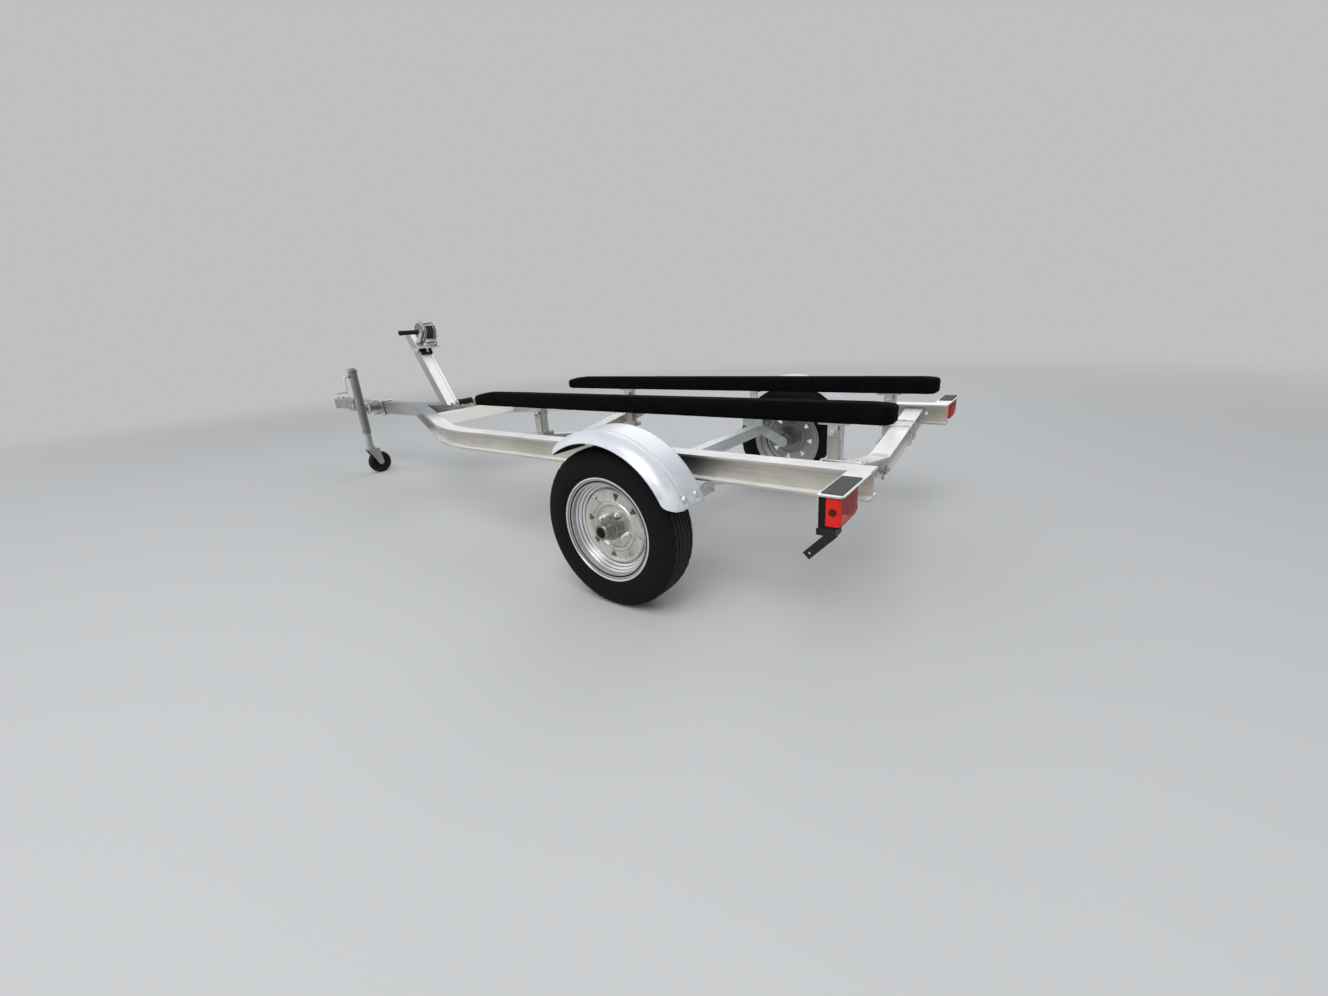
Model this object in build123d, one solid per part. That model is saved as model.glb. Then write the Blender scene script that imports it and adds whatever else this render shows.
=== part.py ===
from build123d import *
from math import atan2, cos, degrees, hypot, radians, sin, sqrt, tan
import os

# Boat trailer, millimetres. X forward to the coupler, Y left, Z up, ground at z = 0.
# Places along X are measured from the wheel axle and moved to mid-length when written.

# overall
REAR_X = -754.0
TONGUE_END = 3270.0
BALL_X = TONGUE_END + 186
NOSE_R = 44.0
NOSE_X = BALL_X + NOSE_R
SHIFT_X = -(REAR_X + NOSE_X) / 2

# frame
FRAME_TOP = 489.0
FRAME_H = 80.0
FRAME_LOW = FRAME_TOP - FRAME_H
RAIL_W = 66.0
RAIL_Y = 534.0
RAIL_FLANGE = 7.0
RAIL_WEB = 6.0
RAIL_REAR = REAR_X + 2.5
RAIL_BEND_X = 1151.0
RAIL_BEND_R = 850.0
RAIL_BEND_DEG = 24.5
RAIL_REACH = 2420.0
RAIL_OUT = RAIL_Y + RAIL_W / 2
TIE_X = REAR_X + 82
TIE_R = 7.0

TONGUE_W = 64.0
TONGUE_WALL = 5.0

THROAT_FRONT = RAIL_REACH - 160
THROAT_REAR = THROAT_FRONT - 270

# cross-members
FRONT_X = 1700.0
FRONT_DEPTH = 40.0
FRONT_WALL = 6.0
CROSS_W = 70.0
CROSS_H = 60.0
CROSS_FLANGE = 6.0
CROSS_WEB = 5.0
CROSS_END_TOP = 473.0
CROSS_DROP = 86.0
CROSS_BEND_R = 300.0
MIDDLE_X = 803.0
REAR_CROSS_X = REAR_X + 127

# wheels
WHEEL_Y = 700.0
TYRE_R = 266.7
TYRE_W = 130.0
RIM_W = 115.0
RIM_R = 173.0
SEAT_R = 152.4
RIM_T = 3.5
SKIN = 0.3
RUN = 0.05
SPINDLE_R = 15.0
HUB_R = 36.0
HUB_IN = 614.0
DISC_Y = 706.0
STUD_R = 50.8
NOSE_HUB_R = 38.0
NOSE_HUB_END = 742.0
CAP_R = 25.0
CAP_END = 780.0
PLUG_R = 17.0
VENTS = 8
VENT_R = 97.0

# axle
AXLE_X = 120.0
AXLE_Z = TYRE_R + 65.3
AXLE_SQ = 52.0
AXLE_END = 588.0
ARM_T = 18.0
HANGER_HALF = 85.0

# fenders
FENDER_IN = WHEEL_Y - 64
FENDER_OUT = WHEEL_Y + 95
FENDER_CREASE = FENDER_OUT - 47
FENDER_R = TYRE_R + 55.3
FENDER_SHOULDER_Y = FENDER_OUT - 19
FENDER_SHOULDER_R = FENDER_R - 9
SKIRT_R = FENDER_R - 32
FENDER_T = 2.0
FENDER_FRONT_DEG = 56.0
FENDER_REAR_DEG = 160.0
FENDER_CORNER = 45.0
STRAP_W = 40.0
STRAP_T = 5.0
STRAP_FRONT_DEG = 63.0
STRAP_REAR_DEG = 152.5
TAIL_PLATE_END = 158.5

# bunks
BUNK_TOP = 622.0
BUNK_H = 59.0
BUNK_LOW = BUNK_TOP - BUNK_H
BUNK_IN = 269.0
BUNK_OUT = 361.0
BUNK_REAR = REAR_X + 6
BUNK_FRONT = 1181.0
BUNK_ROUND = 12.0
BUNK_END_ROUND = 30.0
BUNK_TAPER = 110.0
BUNK_NOSE_DROP = 12.0
BUNK_MID = (BUNK_IN + BUNK_OUT) / 2
POST_W = 44.0
POST_D = 34.0
POST_T = 5.0
POST_TOP = 541.0
SADDLE_T = 5.0
SADDLE_EAR = 38.0
SADDLE_LEG_W = 30.0

# lights
BOX_X = REAR_X
BOX_D = 60.0
BOX_OUT = 784.0
BOX_T = 4.0
BOX_CORNER = 14.0
PAD_T = 3.0
PAD_L = 146.0
LAMP_IN = 644.0
LAMP_BACK = 8.0
LAMP_LIP = 3.0
PLATE_STRIP_W = 22.0
PLATE_STRIP_L = 84.0
PLATE_STRIP_DEG = 47.0

# winch post, leaning forward
LEAN_DEG = 31.6
WPOST_W = 76.0
WPOST_D = 57.0
WPOST_T = 5.0
WPOST_FOOT_X = 1916.0
FOOT_T = 6.0
WPOST_TOP = 925.0

# winch
DRUM_X = WPOST_FOOT_X + 149
DRUM_Z = WPOST_TOP + 9
DRUM_R = 48.0
DRUM_W = 50.0
CHEEK_Y = 32.0
CHEEK_T = 3.0
CHEEK_R = 58.0
CHEEK_FOOT = 37.0
WINCH_LOW = DRUM_Z - 93
SHELF_T = 5.0
GEAR_R = 60.0
PINION_R = 12.0
PINION_X = DRUM_X + 22
PINION_Z = DRUM_Z - GEAR_R - 9.8
CRANK_L = 90.0
CRANK_DEG = 133.0
GRIP_R = 14.0
STOP_T = 22.0
STOP_HALF_W = 34.0
STOP_HALF_H = 16.0

# keel roller
ROLLER_X = FRONT_X + FRONT_DEPTH + 52
ROLLER_Z = FRAME_TOP + 26
ROLLER_R = 19.0
ROLLER_HALF = 46.0
ROLLER_PIN_R = 8.0

# coupler
COUPLER_REAR = TONGUE_END - 100
COUPLER_T = 6.0
BALL_R = 25.8
BALL_DEPTH = 40.0
COUPLER_LOW = 424.0
COUPLER_ROUND = 10.0
LEVER_L = 211.0
LEVER_T = 6.0

# jack
JACK_X = TONGUE_END - 480
JACK_Y = 160.0
JACK_R = 27.0
JACK_TOP = 712.0
JACK_LOW = 290.0
JACK_PIVOT_Z = 459.0
JACK_CRANK_Z = 683.0
JACK_ARM = 98.0
JACK_GRIP_L = 70.0
JACK_PLATE_HALF = 70.0
LEG_R = 22.5
LEG_TOP = 560.0
LEG_UP = 95.0
JWHEEL_R = 75.0
JWHEEL_W = 40.0
CASTER_TRAIL = 40.0
FORK_RISE = 40.0
JACK_GAP = 0.05

os.makedirs("parts", exist_ok=True)


def box(x0, x1, y0, y1, z0, z1):
    return Pos((x0 + x1) / 2, (y0 + y1) / 2, (z0 + z1) / 2) * Box(abs(x1 - x0), abs(y1 - y0), abs(z1 - z0))


def rod_y(x, z, y0, y1, r):
    return Pos(x, (y0 + y1) / 2, z) * Rot(90, 0, 0) * Cylinder(r, abs(y1 - y0))


def rod_x(y, z, x0, x1, r):
    return Pos((x0 + x1) / 2, y, z) * Rot(0, 90, 0) * Cylinder(r, abs(x1 - x0))


def rod_z(x, y, z0, z1, r):
    return Pos(x, y, (z0 + z1) / 2) * Cylinder(r, abs(z1 - z0))


def solids_of(thing):
    if isinstance(thing, (list, tuple)):
        out = []
        for t in thing:
            out += solids_of(t)
        return out
    return list(thing.solids())


def save(name, *things):
    found = solids_of(things)
    shape = found[0] if len(found) == 1 else Compound(children=found)
    shape = Pos(SHIFT_X, 0, 0) * shape
    export_step(shape, "parts/" + name + ".step")


def flip(thing):
    return [mirror(s, about=Plane.XZ) for s in solids_of(thing)]


def both(thing):
    return solids_of(thing) + flip(thing)


def spin(points, x, z):
    # closed outline of (radius, y) turned about an axle along Y at x, z
    wire = Polyline(*[(r, y) for r, y in points], close=True)
    return turned(make_face(wire), x, z)


def turned(face, x, z):
    solid = revolve(face, Axis.Y, 360)
    return Pos(x, 0, z) * solid


def i_section(width, height, flange, web):
    face = Rectangle(width, height)
    side = (width - web) / 2
    gap = Rectangle(side, height - 2 * flange)
    face -= Pos((web + side) / 2, 0) * gap
    face -= Pos(-(web + side) / 2, 0) * gap
    return face


# frame


def rail_path(y_start, x_far):
    theta = radians(RAIL_BEND_DEG)
    reach = RAIL_BEND_R * tan(theta / 2)
    bend_x = RAIL_BEND_X - (RAIL_W / 2) * tan(theta / 2)
    p0 = (RAIL_REAR, y_start)
    p1 = (bend_x - reach, y_start)
    p2 = (bend_x + reach * cos(theta), y_start - reach * sin(theta))
    run = x_far - p2[0]
    p3 = (x_far, p2[1] - run * tan(theta))
    return p0, p1, p2, p3


def rail():
    p0, p1, p2, p3 = rail_path(RAIL_Y, RAIL_REACH)
    mid_z = FRAME_TOP - FRAME_H / 2
    first = Line(p0, p1)
    bend = TangentArc(p1, p2, tangent=(1, 0))
    last = Line(p2, p3)
    path = Pos(0, 0, mid_z) * Wire([first, bend, last])
    plane = Plane(origin=(RAIL_REAR, RAIL_Y, mid_z), x_dir=(0, 1, 0), z_dir=(1, 0, 0))
    face = plane * i_section(RAIL_W, FRAME_H, RAIL_FLANGE, RAIL_WEB)
    beam = sweep(face, path=path)
    side = TONGUE_W / 2
    beam -= box(RAIL_BEND_X, NOSE_X, side - RAIL_Y, side, 0, 2 * FRAME_TOP)
    beam -= rod_y(TIE_X, mid_z, RAIL_Y - RAIL_W, RAIL_Y + RAIL_W, TIE_R)
    return beam


def web_line_y(x, inward):
    # y of the rail's web face at x on the straight slanted run
    p0, p1, p2, p3 = rail_path(RAIL_Y, RAIL_REACH)
    theta = radians(RAIL_BEND_DEG)
    return p2[1] - (x - p2[0]) * tan(theta) - inward / cos(theta)


def cross_front():
    low = FRAME_LOW + RAIL_FLANGE
    high = FRAME_TOP - RAIL_FLANGE
    x1 = FRONT_X + FRONT_DEPTH
    ya = web_line_y(FRONT_X, RAIL_WEB / 2)
    yb = web_line_y(x1, RAIL_WEB / 2)
    plan = make_face(Polyline((FRONT_X, -ya), (FRONT_X, ya), (x1, yb), (x1, -yb), close=True))
    beam = Pos(0, 0, low) * extrude(plan, high - low)
    beam -= box(FRONT_X + FRONT_WALL, x1 + 1, -RAIL_Y, RAIL_Y, low + FRONT_WALL, high - FRONT_WALL)
    return beam


def cross_slope():
    return atan2(CROSS_DROP, RAIL_Y - RAIL_WEB / 2)


def cross_bent(x):
    # I-beam bent to a shallow V that drops at the middle, between the rail webs
    end = RAIL_Y - RAIL_WEB / 2
    a = cross_slope()
    z_end = CROSS_END_TOP - CROSS_H / 2
    z_mid = z_end - CROSS_DROP
    reach = CROSS_BEND_R * tan(a)
    past = 40.0
    far = end + past
    z_far = z_end + past * tan(a)
    cut = reach * cos(a) / 2
    lift = reach * sin(a) / 2
    left = Line((far, z_far), (cut, z_mid + lift))
    right = Line((-cut, z_mid + lift), (-far, z_far))
    bend = TangentArc((cut, z_mid + lift), (-cut, z_mid + lift), tangent=(-cos(a), -sin(a)))
    stand = Plane(origin=(x, 0, 0), x_dir=(0, 1, 0), z_dir=(1, 0, 0))
    path = stand * Wire([left, bend, right])
    start = Plane(origin=(x, far, z_far), x_dir=(1, 0, 0), z_dir=(0, -cos(a), -sin(a)))
    face = start * i_section(CROSS_W, CROSS_H, CROSS_FLANGE, CROSS_WEB)
    beam = sweep(face, path=path)
    far_end = box(x - CROSS_W, x + CROSS_W, end, end + 2 * past, 0, 2 * FRAME_TOP)
    cope = box(x - CROSS_W, x + CROSS_W, RAIL_Y - RAIL_W / 2 - 1, RAIL_OUT, 0, FRAME_LOW + RAIL_FLANGE + 1)
    beam = beam - far_end - flip(far_end)[0]
    return beam - cope - flip(cope)[0]


def cross_top(y):
    # height of a bent cross-member's top face away from its middle bend
    a = cross_slope()
    end = RAIL_Y - RAIL_WEB / 2
    at_end = CROSS_END_TOP - CROSS_H / 2 + (CROSS_H / 2) / cos(a)
    return at_end - (end - abs(y)) * tan(a)


def tongue():
    x0 = FRONT_X + FRONT_DEPTH
    half = TONGUE_W / 2
    w = TONGUE_WALL
    beam = box(x0, TONGUE_END, -half, half, FRAME_LOW, FRAME_TOP)
    beam -= box(x0 - 1, TONGUE_END + 1, -half + w, half - w, FRAME_LOW + w, FRAME_TOP - w)
    return beam


def frame_plates():
    t = 6.0
    half = TONGUE_W / 2
    low = FRAME_LOW - t
    x_a, x_b = THROAT_REAR, THROAT_FRONT
    ya = web_line_y(x_a, -RAIL_W / 2) - 6
    yb = web_line_y(x_b, -RAIL_W / 2) - 6
    plan = make_face(Polyline((x_a, -ya), (x_a, ya), (x_b, yb), (x_b, -yb), close=True))
    throat = Pos(0, 0, low) * extrude(plan, t)
    x0 = FRONT_X + FRONT_DEPTH
    lip = 60.0
    z0 = FRAME_LOW + RAIL_FLANGE
    z1 = FRAME_TOP - RAIL_FLANGE
    corner = box(x0, x0 + lip, half, half + t, z0, z1) + box(x0, x0 + t, half, half + lip, z0, z1)
    return [throat] + both(corner)


# axle


def axle_tube():
    h = AXLE_SQ / 2
    w = 5.0
    tube = box(AXLE_X - h, AXLE_X + h, -AXLE_END, AXLE_END, AXLE_Z - h, AXLE_Z + h)
    tube -= box(AXLE_X - h + w, AXLE_X + h - w, -AXLE_END - 1, AXLE_END + 1, AXLE_Z - h + w, AXLE_Z + h - w)
    return tube


def axle_hangers():
    top = FRAME_LOW
    low = AXLE_Z + AXLE_SQ / 2
    t = 6.0
    inner = RAIL_Y - RAIL_W / 2
    side = HANGER_HALF - 30
    plate = box(AXLE_X - HANGER_HALF, AXLE_X + HANGER_HALF, inner, RAIL_OUT, top - t, top)
    sides = box(AXLE_X - side, AXLE_X + side, inner + 2, inner + 2 + t, low, top - t)
    sides += box(AXLE_X - side, AXLE_X + side, RAIL_OUT - 2 - t, RAIL_OUT - 2, low, top - t)
    return both(plate + sides)


def torsion_arm():
    z0 = TYRE_R
    dx, dz = -AXLE_X, z0 - AXLE_Z
    long = hypot(dx, dz)
    tilt = degrees(atan2(dz, dx))
    plan = Pos(long / 2, 0) * Rectangle(long, 52)
    plan += Circle(30)
    plan += Pos(long, 0) * Circle(27)
    turn = Pos(AXLE_X, AXLE_END + ARM_T, AXLE_Z) * Rot(0, -tilt, 0)
    arm = turn * extrude(Plane.XZ * plan, ARM_T)
    arm += rod_y(AXLE_X, AXLE_Z, AXLE_END - 60, AXLE_END, 19)
    arm += rod_y(0, z0, AXLE_END + ARM_T, HUB_IN + 118, SPINDLE_R)
    return arm


# wheels


def hub():
    face_y = DISC_Y - RIM_T
    parts = rod_y(0, TYRE_R, HUB_IN, face_y, HUB_R)
    parts += rod_y(0, TYRE_R, face_y - 9, face_y, STUD_R + 14)
    parts += rod_y(0, TYRE_R, face_y, NOSE_HUB_END, NOSE_HUB_R)
    parts += rod_y(0, TYRE_R, NOSE_HUB_END, CAP_END - 5, CAP_R)
    parts += rod_y(0, TYRE_R, CAP_END - 5, CAP_END, PLUG_R)
    parts -= rod_y(0, TYRE_R, HUB_IN - 1, HUB_IN + 122, SPINDLE_R + RUN)
    return parts


def rim():
    half = RIM_W / 2
    t = RIM_T
    lo, hi = WHEEL_Y - half, WHEEL_Y + half
    well = 128.0
    outer = [
        (RIM_R, lo), (RIM_R, lo + t), (SEAT_R, lo + 8), (SEAT_R - 1, lo + 32), (well, lo + 42),
        (well, hi - 46), (SEAT_R - 1, hi - 32), (SEAT_R, hi - 8), (RIM_R, hi - t), (RIM_R, hi),
    ]
    inner = [
        (RIM_R - 5, hi), (SEAT_R - t - 1, hi - 8 + 1), (SEAT_R - t - 1, hi - 31), (SEAT_R - 12, hi - 33),
        (well - t, hi - 45), (well - t, lo + 43), (SEAT_R - 12, lo + 30), (SEAT_R - t - 1, lo + 30),
        (SEAT_R - t - 1, lo + 7), (RIM_R - 5, lo),
    ]
    barrel = spin(outer + inner, 0, TYRE_R)
    dy = DISC_Y
    eye = NOSE_HUB_R + SKIN
    ring = STUD_R + 20
    disc = spin([
        (eye, dy - t), (ring, dy - t), (ring + 7, dy + 5), (well - 18, dy + 5),
        (well - t - 5, dy - 14), (well - t + 1, dy - 14), (well - t + 1, dy + 2), (well - 13, dy + 10),
        (ring + 4, dy + 10), (ring - 4, dy + 0.8), (eye, dy + 0.8),
    ], 0, TYRE_R)
    wheel = barrel + disc
    for k in range(VENTS):
        a = radians(360 / VENTS * (k + 0.5))
        wheel -= rod_y(VENT_R * cos(a), TYRE_R + VENT_R * sin(a), dy - 10, dy + 20, 8)
    return wheel


def tyre():
    h = TYRE_W / 2
    s = SEAT_R + SKIN
    bead = RIM_W / 2 - 8 - SKIN
    face = make_face([
        Line((s, -bead), (s, -bead + 14)),
        Line((s, -bead + 14), (s + 28, -h + 14)),
        ThreePointArc((s + 28, -h + 14), ((s + TYRE_R) / 2 + 4, -h + 9), (TYRE_R - 22, -h + 16)),
        Line((TYRE_R - 22, -h + 16), (TYRE_R - 12, -h + 34)),
        Line((TYRE_R - 12, -h + 34), (TYRE_R - 12, h - 34)),
        Line((TYRE_R - 12, h - 34), (TYRE_R - 22, h - 16)),
        ThreePointArc((TYRE_R - 22, h - 16), ((s + TYRE_R) / 2 + 4, h - 9), (s + 28, h - 14)),
        Line((s + 28, h - 14), (s, bead - 14)),
        Line((s, bead - 14), (s, bead)),
        Line((s, bead), (RIM_R + 0.8, bead + 3.6)),
        Line((RIM_R + 0.8, bead + 3.6), (RIM_R + 4, h - 8)),
        ThreePointArc((RIM_R + 4, h - 8), ((RIM_R + TYRE_R) / 2 - 2, h), (TYRE_R - 16, h - 8)),
        ThreePointArc((TYRE_R - 16, h - 8), (TYRE_R - 5, h - 14), (TYRE_R, h - 24)),
        Line((TYRE_R, h - 24), (TYRE_R, -h + 24)),
        ThreePointArc((TYRE_R, -h + 24), (TYRE_R - 5, -h + 14), (TYRE_R - 16, -h + 8)),
        ThreePointArc((TYRE_R - 16, -h + 8), ((RIM_R + TYRE_R) / 2 - 2, -h), (RIM_R + 4, -h + 8)),
        Line((RIM_R + 4, -h + 8), (RIM_R + 0.8, -bead - 3.6)),
        Line((RIM_R + 0.8, -bead - 3.6), (s, -bead)),
    ])
    return turned(Pos(0, WHEEL_Y) * face, 0, TYRE_R)


# fenders


def fender():
    # flat crown, rounded shoulder, slanted skirt and a turned-down front end;
    # the rear end's outer corner is cut round
    t = FENDER_T
    top = [
        (FENDER_R, FENDER_IN), (FENDER_R, FENDER_CREASE), (FENDER_SHOULDER_R, FENDER_SHOULDER_Y),
        (SKIRT_R, FENDER_OUT),
    ]
    low = [
        (SKIRT_R - 0.8, FENDER_OUT - 1.3 * t), (FENDER_SHOULDER_R - t, FENDER_SHOULDER_Y - 1.2 * t),
        (FENDER_R - t, FENDER_CREASE - 0.4 * t), (FENDER_R - t, FENDER_IN),
    ]
    face = make_face(Polyline(*(top + low), close=True))
    skin = Rot(0, -FENDER_REAR_DEG, 0) * revolve(face, Axis.Y, FENDER_REAR_DEG - FENDER_FRONT_DEG)
    end_face = make_face(Polyline(*top, (SKIRT_R, FENDER_IN), close=True))
    thick = degrees(t / FENDER_R)
    skin += Rot(0, -FENDER_FRONT_DEG - thick, 0) * revolve(end_face, Axis.Y, thick)
    # frame at the rear end: x runs on past the end, y inboard, z outward
    a = radians(FENDER_REAR_DEG)
    end = Plane(
        origin=(FENDER_R * cos(a), FENDER_OUT, FENDER_R * sin(a)),
        x_dir=(-sin(a), 0, cos(a)), z_dir=(cos(a), 0, sin(a)),
    )
    c = FENDER_CORNER
    corner = box(-c, c, -c, c, -2 * c, 2 * c) - Pos(-c, c, 0) * Cylinder(c, 5 * c)
    return Pos(0, 0, TYRE_R) * (skin - end * corner)


def under_fender(deg_a, deg_b, y0, y1):
    # flat bar bent to the fender's underside
    r1 = FENDER_R - FENDER_T - SKIN
    r0 = r1 - STRAP_T
    face = make_face(Polyline((r0, y0), (r1, y0), (r1, y1), (r0, y1), close=True))
    return Pos(0, 0, TYRE_R) * Rot(0, -deg_b, 0) * revolve(face, Axis.Y, deg_b - deg_a)


def fender_strap(deg):
    # cross bar under the fender with a foot down the rail's side
    half = degrees(STRAP_W / 2 / FENDER_R)
    bar = under_fender(deg - half, deg + half, RAIL_OUT, FENDER_CREASE - 8)
    r = FENDER_R - FENDER_T - SKIN - STRAP_T / 2
    x = r * cos(radians(deg))
    places = [x - STRAP_W / 2, x, x + STRAP_W / 2]
    crest = [(u, TYRE_R + sqrt(r * r - u * u)) for u in places]
    face = make_face(Polyline((places[2], FRAME_LOW), (places[0], FRAME_LOW), *crest, close=True))
    foot = Pos(0, RAIL_OUT + STRAP_T, 0) * extrude(Plane.XZ * face, STRAP_T)
    return bar + foot


def fender_straps():
    # the rear bar goes in under the rail and is bolted to its bottom flange
    front = fender_strap(STRAP_FRONT_DEG)
    rear = under_fender(STRAP_REAR_DEG, TAIL_PLATE_END, RAIL_OUT + 1, FENDER_CREASE - 8)
    x = -sqrt(FENDER_R ** 2 - (FRAME_LOW - TYRE_R) ** 2)
    inner = RAIL_Y - RAIL_W / 2 + 6
    rear += box(x - STRAP_W / 2, x + STRAP_W / 2, inner, RAIL_OUT + 30, FRAME_LOW - STRAP_T, FRAME_LOW)
    return both([front, rear])


# bunks


def bunk():
    # straight plank under carpet, its top easing down at the front end
    nose = BUNK_TOP - BUNK_NOSE_DROP
    side = Plane.XZ * make_face(Polyline(
        (BUNK_REAR, BUNK_LOW), (BUNK_FRONT, BUNK_LOW), (BUNK_FRONT, nose),
        (BUNK_FRONT - BUNK_TAPER, BUNK_TOP), (BUNK_REAR, BUNK_TOP), close=True,
    ))
    pad = Pos(0, BUNK_OUT, 0) * extrude(side, BUNK_OUT - BUNK_IN)
    pad = fillet(pad.edges().filter_by(Axis.Z), BUNK_END_ROUND)
    ends = pad.edges().filter_by(Axis.Z)
    return fillet([e for e in pad.edges() if e not in ends], BUNK_ROUND)


def bunk_post(x_face, way):
    # upright channel whose back sits against a cross-member's flange edges
    x0 = x_face
    x1 = x_face + way * POST_D
    xa, xb = min(x0, x1), max(x0, x1)
    ya, yb = BUNK_MID - POST_W / 2, BUNK_MID + POST_W / 2
    low = cross_top(BUNK_MID) - CROSS_H - 4
    post = box(xa, xb, ya, yb, low, POST_TOP)
    inner_a, inner_b = (xa + POST_T, xb + 1) if way > 0 else (xa - 1, xb - POST_T)
    post -= box(inner_a, inner_b, ya + POST_T, yb - POST_T, low - 1, POST_TOP + 1)
    for z in (low + 92, low + 128):
        post -= Pos((xa + xb) / 2, 0, z) * box(-POST_D, POST_D, BUNK_MID - 5, BUNK_MID + 5, -11, 11)
    # the free top corner is cut back
    post -= Pos(x1, BUNK_MID, POST_TOP) * Rot(0, 45, 0) * Box(16, 2 * POST_W, 16)
    return post


def bunk_saddle(x_face, way):
    # steel bracket: plate under the bunk, two ears outside the upright and a leg behind it
    x0, x1 = x_face, x_face + way * POST_D
    xa, xm = min(x0, x1), (x0 + x1) / 2
    ya, yb = BUNK_MID - POST_W / 2, BUNK_MID + POST_W / 2
    t = SADDLE_T
    top = BUNK_LOW
    low = top - SADDLE_EAR
    plate = box(xm - 45, xm + 45, ya - t, yb + t, top - t, top)
    ears = box(xm - 15, xm + 15, ya - t, ya, low, top - t)
    ears += box(xm - 15, xm + 15, yb, yb + t, low, top - t)
    half = SADDLE_LEG_W / 2
    foot = cross_top(BUNK_MID + half) + 4
    leg = box(xa - SKIN - t, xa - SKIN, BUNK_MID - half, BUNK_MID + half, foot, top - t)
    return plate + ears + leg


POSTS = [(MIDDLE_X - CROSS_W / 2 - SKIN, -1), (REAR_CROSS_X + CROSS_W / 2 + SKIN, 1)]

# lights


def light_box():
    # top plate with a round outer corner, and a front wall that carries the lamp
    x0, x1 = BOX_X, BOX_X + BOX_D
    t = BOX_T
    top = box(x0, x1, RAIL_OUT, BOX_OUT, FRAME_TOP - t, FRAME_TOP)
    corner = top.edges().filter_by(Axis.Z).sort_by(Axis.Y)[-2:].sort_by(Axis.X)[0]
    top = fillet(corner, BOX_CORNER)
    wall = box(x1 - t, x1, LAMP_IN - 4, BOX_OUT, FRAME_LOW, FRAME_TOP - t)
    return top + wall


def light_pad():
    y = BOX_OUT - 12
    return box(BOX_X + 5, BOX_X + BOX_D - 5, y - PAD_L, y, FRAME_TOP, FRAME_TOP + PAD_T)


def tail_lamp():
    x0, x1 = BOX_X + LAMP_BACK, BOX_X + BOX_D - BOX_T
    body = box(x0, x1, LAMP_IN, BOX_OUT - LAMP_LIP, FRAME_LOW, FRAME_TOP - BOX_T)
    return fillet(body.edges().filter_by(Axis.Z), 6)


def plate_bracket():
    # block under the lamp and a flat strip that slants down and forward from it
    x = BOX_X + LAMP_BACK + 8
    y = BOX_OUT - LAMP_LIP
    foot = box(x, x + 46, y - 44, y - 3, FRAME_LOW - 20, FRAME_LOW)
    strip = box(-12, PLATE_STRIP_L, 0, 3, -PLATE_STRIP_W / 2, PLATE_STRIP_W / 2)
    strip -= rod_y(PLATE_STRIP_L - 12, 0, -1, 4, 3.5)
    return foot + Pos(x + 12, y - 6, FRAME_LOW - 18) * Rot(0, PLATE_STRIP_DEG, 0) * strip


# winch post and winch


def lean_plane(x, z, y=0.0):
    # local x = forward across the post, local y = left, local z = up along the post
    a = radians(LEAN_DEG)
    return Plane(origin=(x, y, z), x_dir=(cos(a), 0, -sin(a)), z_dir=(sin(a), 0, cos(a)))


def winch_post():
    a = radians(LEAN_DEG)
    base = lean_plane(WPOST_FOOT_X, FRAME_TOP)
    long = (WPOST_TOP - FRAME_TOP) / cos(a) + 40
    t = WPOST_T
    half = WPOST_W / 2
    post = base * box(0, WPOST_D, -half, half, -90, long)
    hollow = base * box(t, WPOST_D + 1, -half + t, half - t, -95, long + 5)
    post -= hollow
    x0, x1 = WPOST_FOOT_X - 4 * WPOST_W, DRUM_X + 4 * WPOST_W
    top_of_foot = FRAME_TOP + FOOT_T
    post -= box(x0, x1, -WPOST_W, WPOST_W, 0, top_of_foot)
    post -= box(x0, x1, -WPOST_W, WPOST_W, WPOST_TOP, 2 * WPOST_TOP)
    foot_front = WPOST_FOOT_X + WPOST_D / cos(a) + 40
    foot = box(WPOST_FOOT_X - 30, foot_front, -half, half, FRAME_TOP, top_of_foot)
    return post + foot


def winch_shelf():
    # bent plate bracket on the post's rear face that carries the winch
    a = radians(LEAN_DEG)
    half = WPOST_W / 2
    t = SHELF_T
    z1 = WINCH_LOW
    x_face = WPOST_FOOT_X + (z1 - t - FRAME_TOP) * tan(a)
    shelf = box(DRUM_X - CHEEK_R, x_face - SKIN, -half - t, half + t, z1 - t, z1)
    side = Plane.XZ * make_face(Polyline(
        (x_face - 26, z1), (x_face + 40, z1), (x_face + 34, z1 - 30), (x_face + 4, z1 - 36), close=True,
    ))
    side = Pos(0, half + SKIN + t, 0) * extrude(side, t)
    return shelf + side + flip(side)[0]


def winch_frame():
    z0 = WINCH_LOW
    t = CHEEK_T
    r = CHEEK_R
    foot = CHEEK_FOOT
    base = box(DRUM_X - foot, DRUM_X + foot, -CHEEK_Y - t, CHEEK_Y + t, z0, z0 + t)
    neck = Plane.XZ * make_face(Polyline(
        (DRUM_X - foot, z0), (DRUM_X + foot, z0),
        (DRUM_X + r - 8, DRUM_Z - 20), (DRUM_X - r + 8, DRUM_Z - 20),
        close=True,
    ))
    cheek = Pos(0, CHEEK_Y + t, 0) * extrude(neck, t)
    cheek += rod_y(DRUM_X, DRUM_Z, CHEEK_Y, CHEEK_Y + t, r)
    frame = base + cheek + flip(cheek)[0] + winch_shelf()
    frame -= rod_y(DRUM_X, DRUM_Z, -2 * CHEEK_Y, 2 * CHEEK_Y, 9 + RUN)
    frame -= rod_y(PINION_X, PINION_Z, -2 * CHEEK_Y, 2 * CHEEK_Y, 7 + RUN)
    return frame


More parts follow.
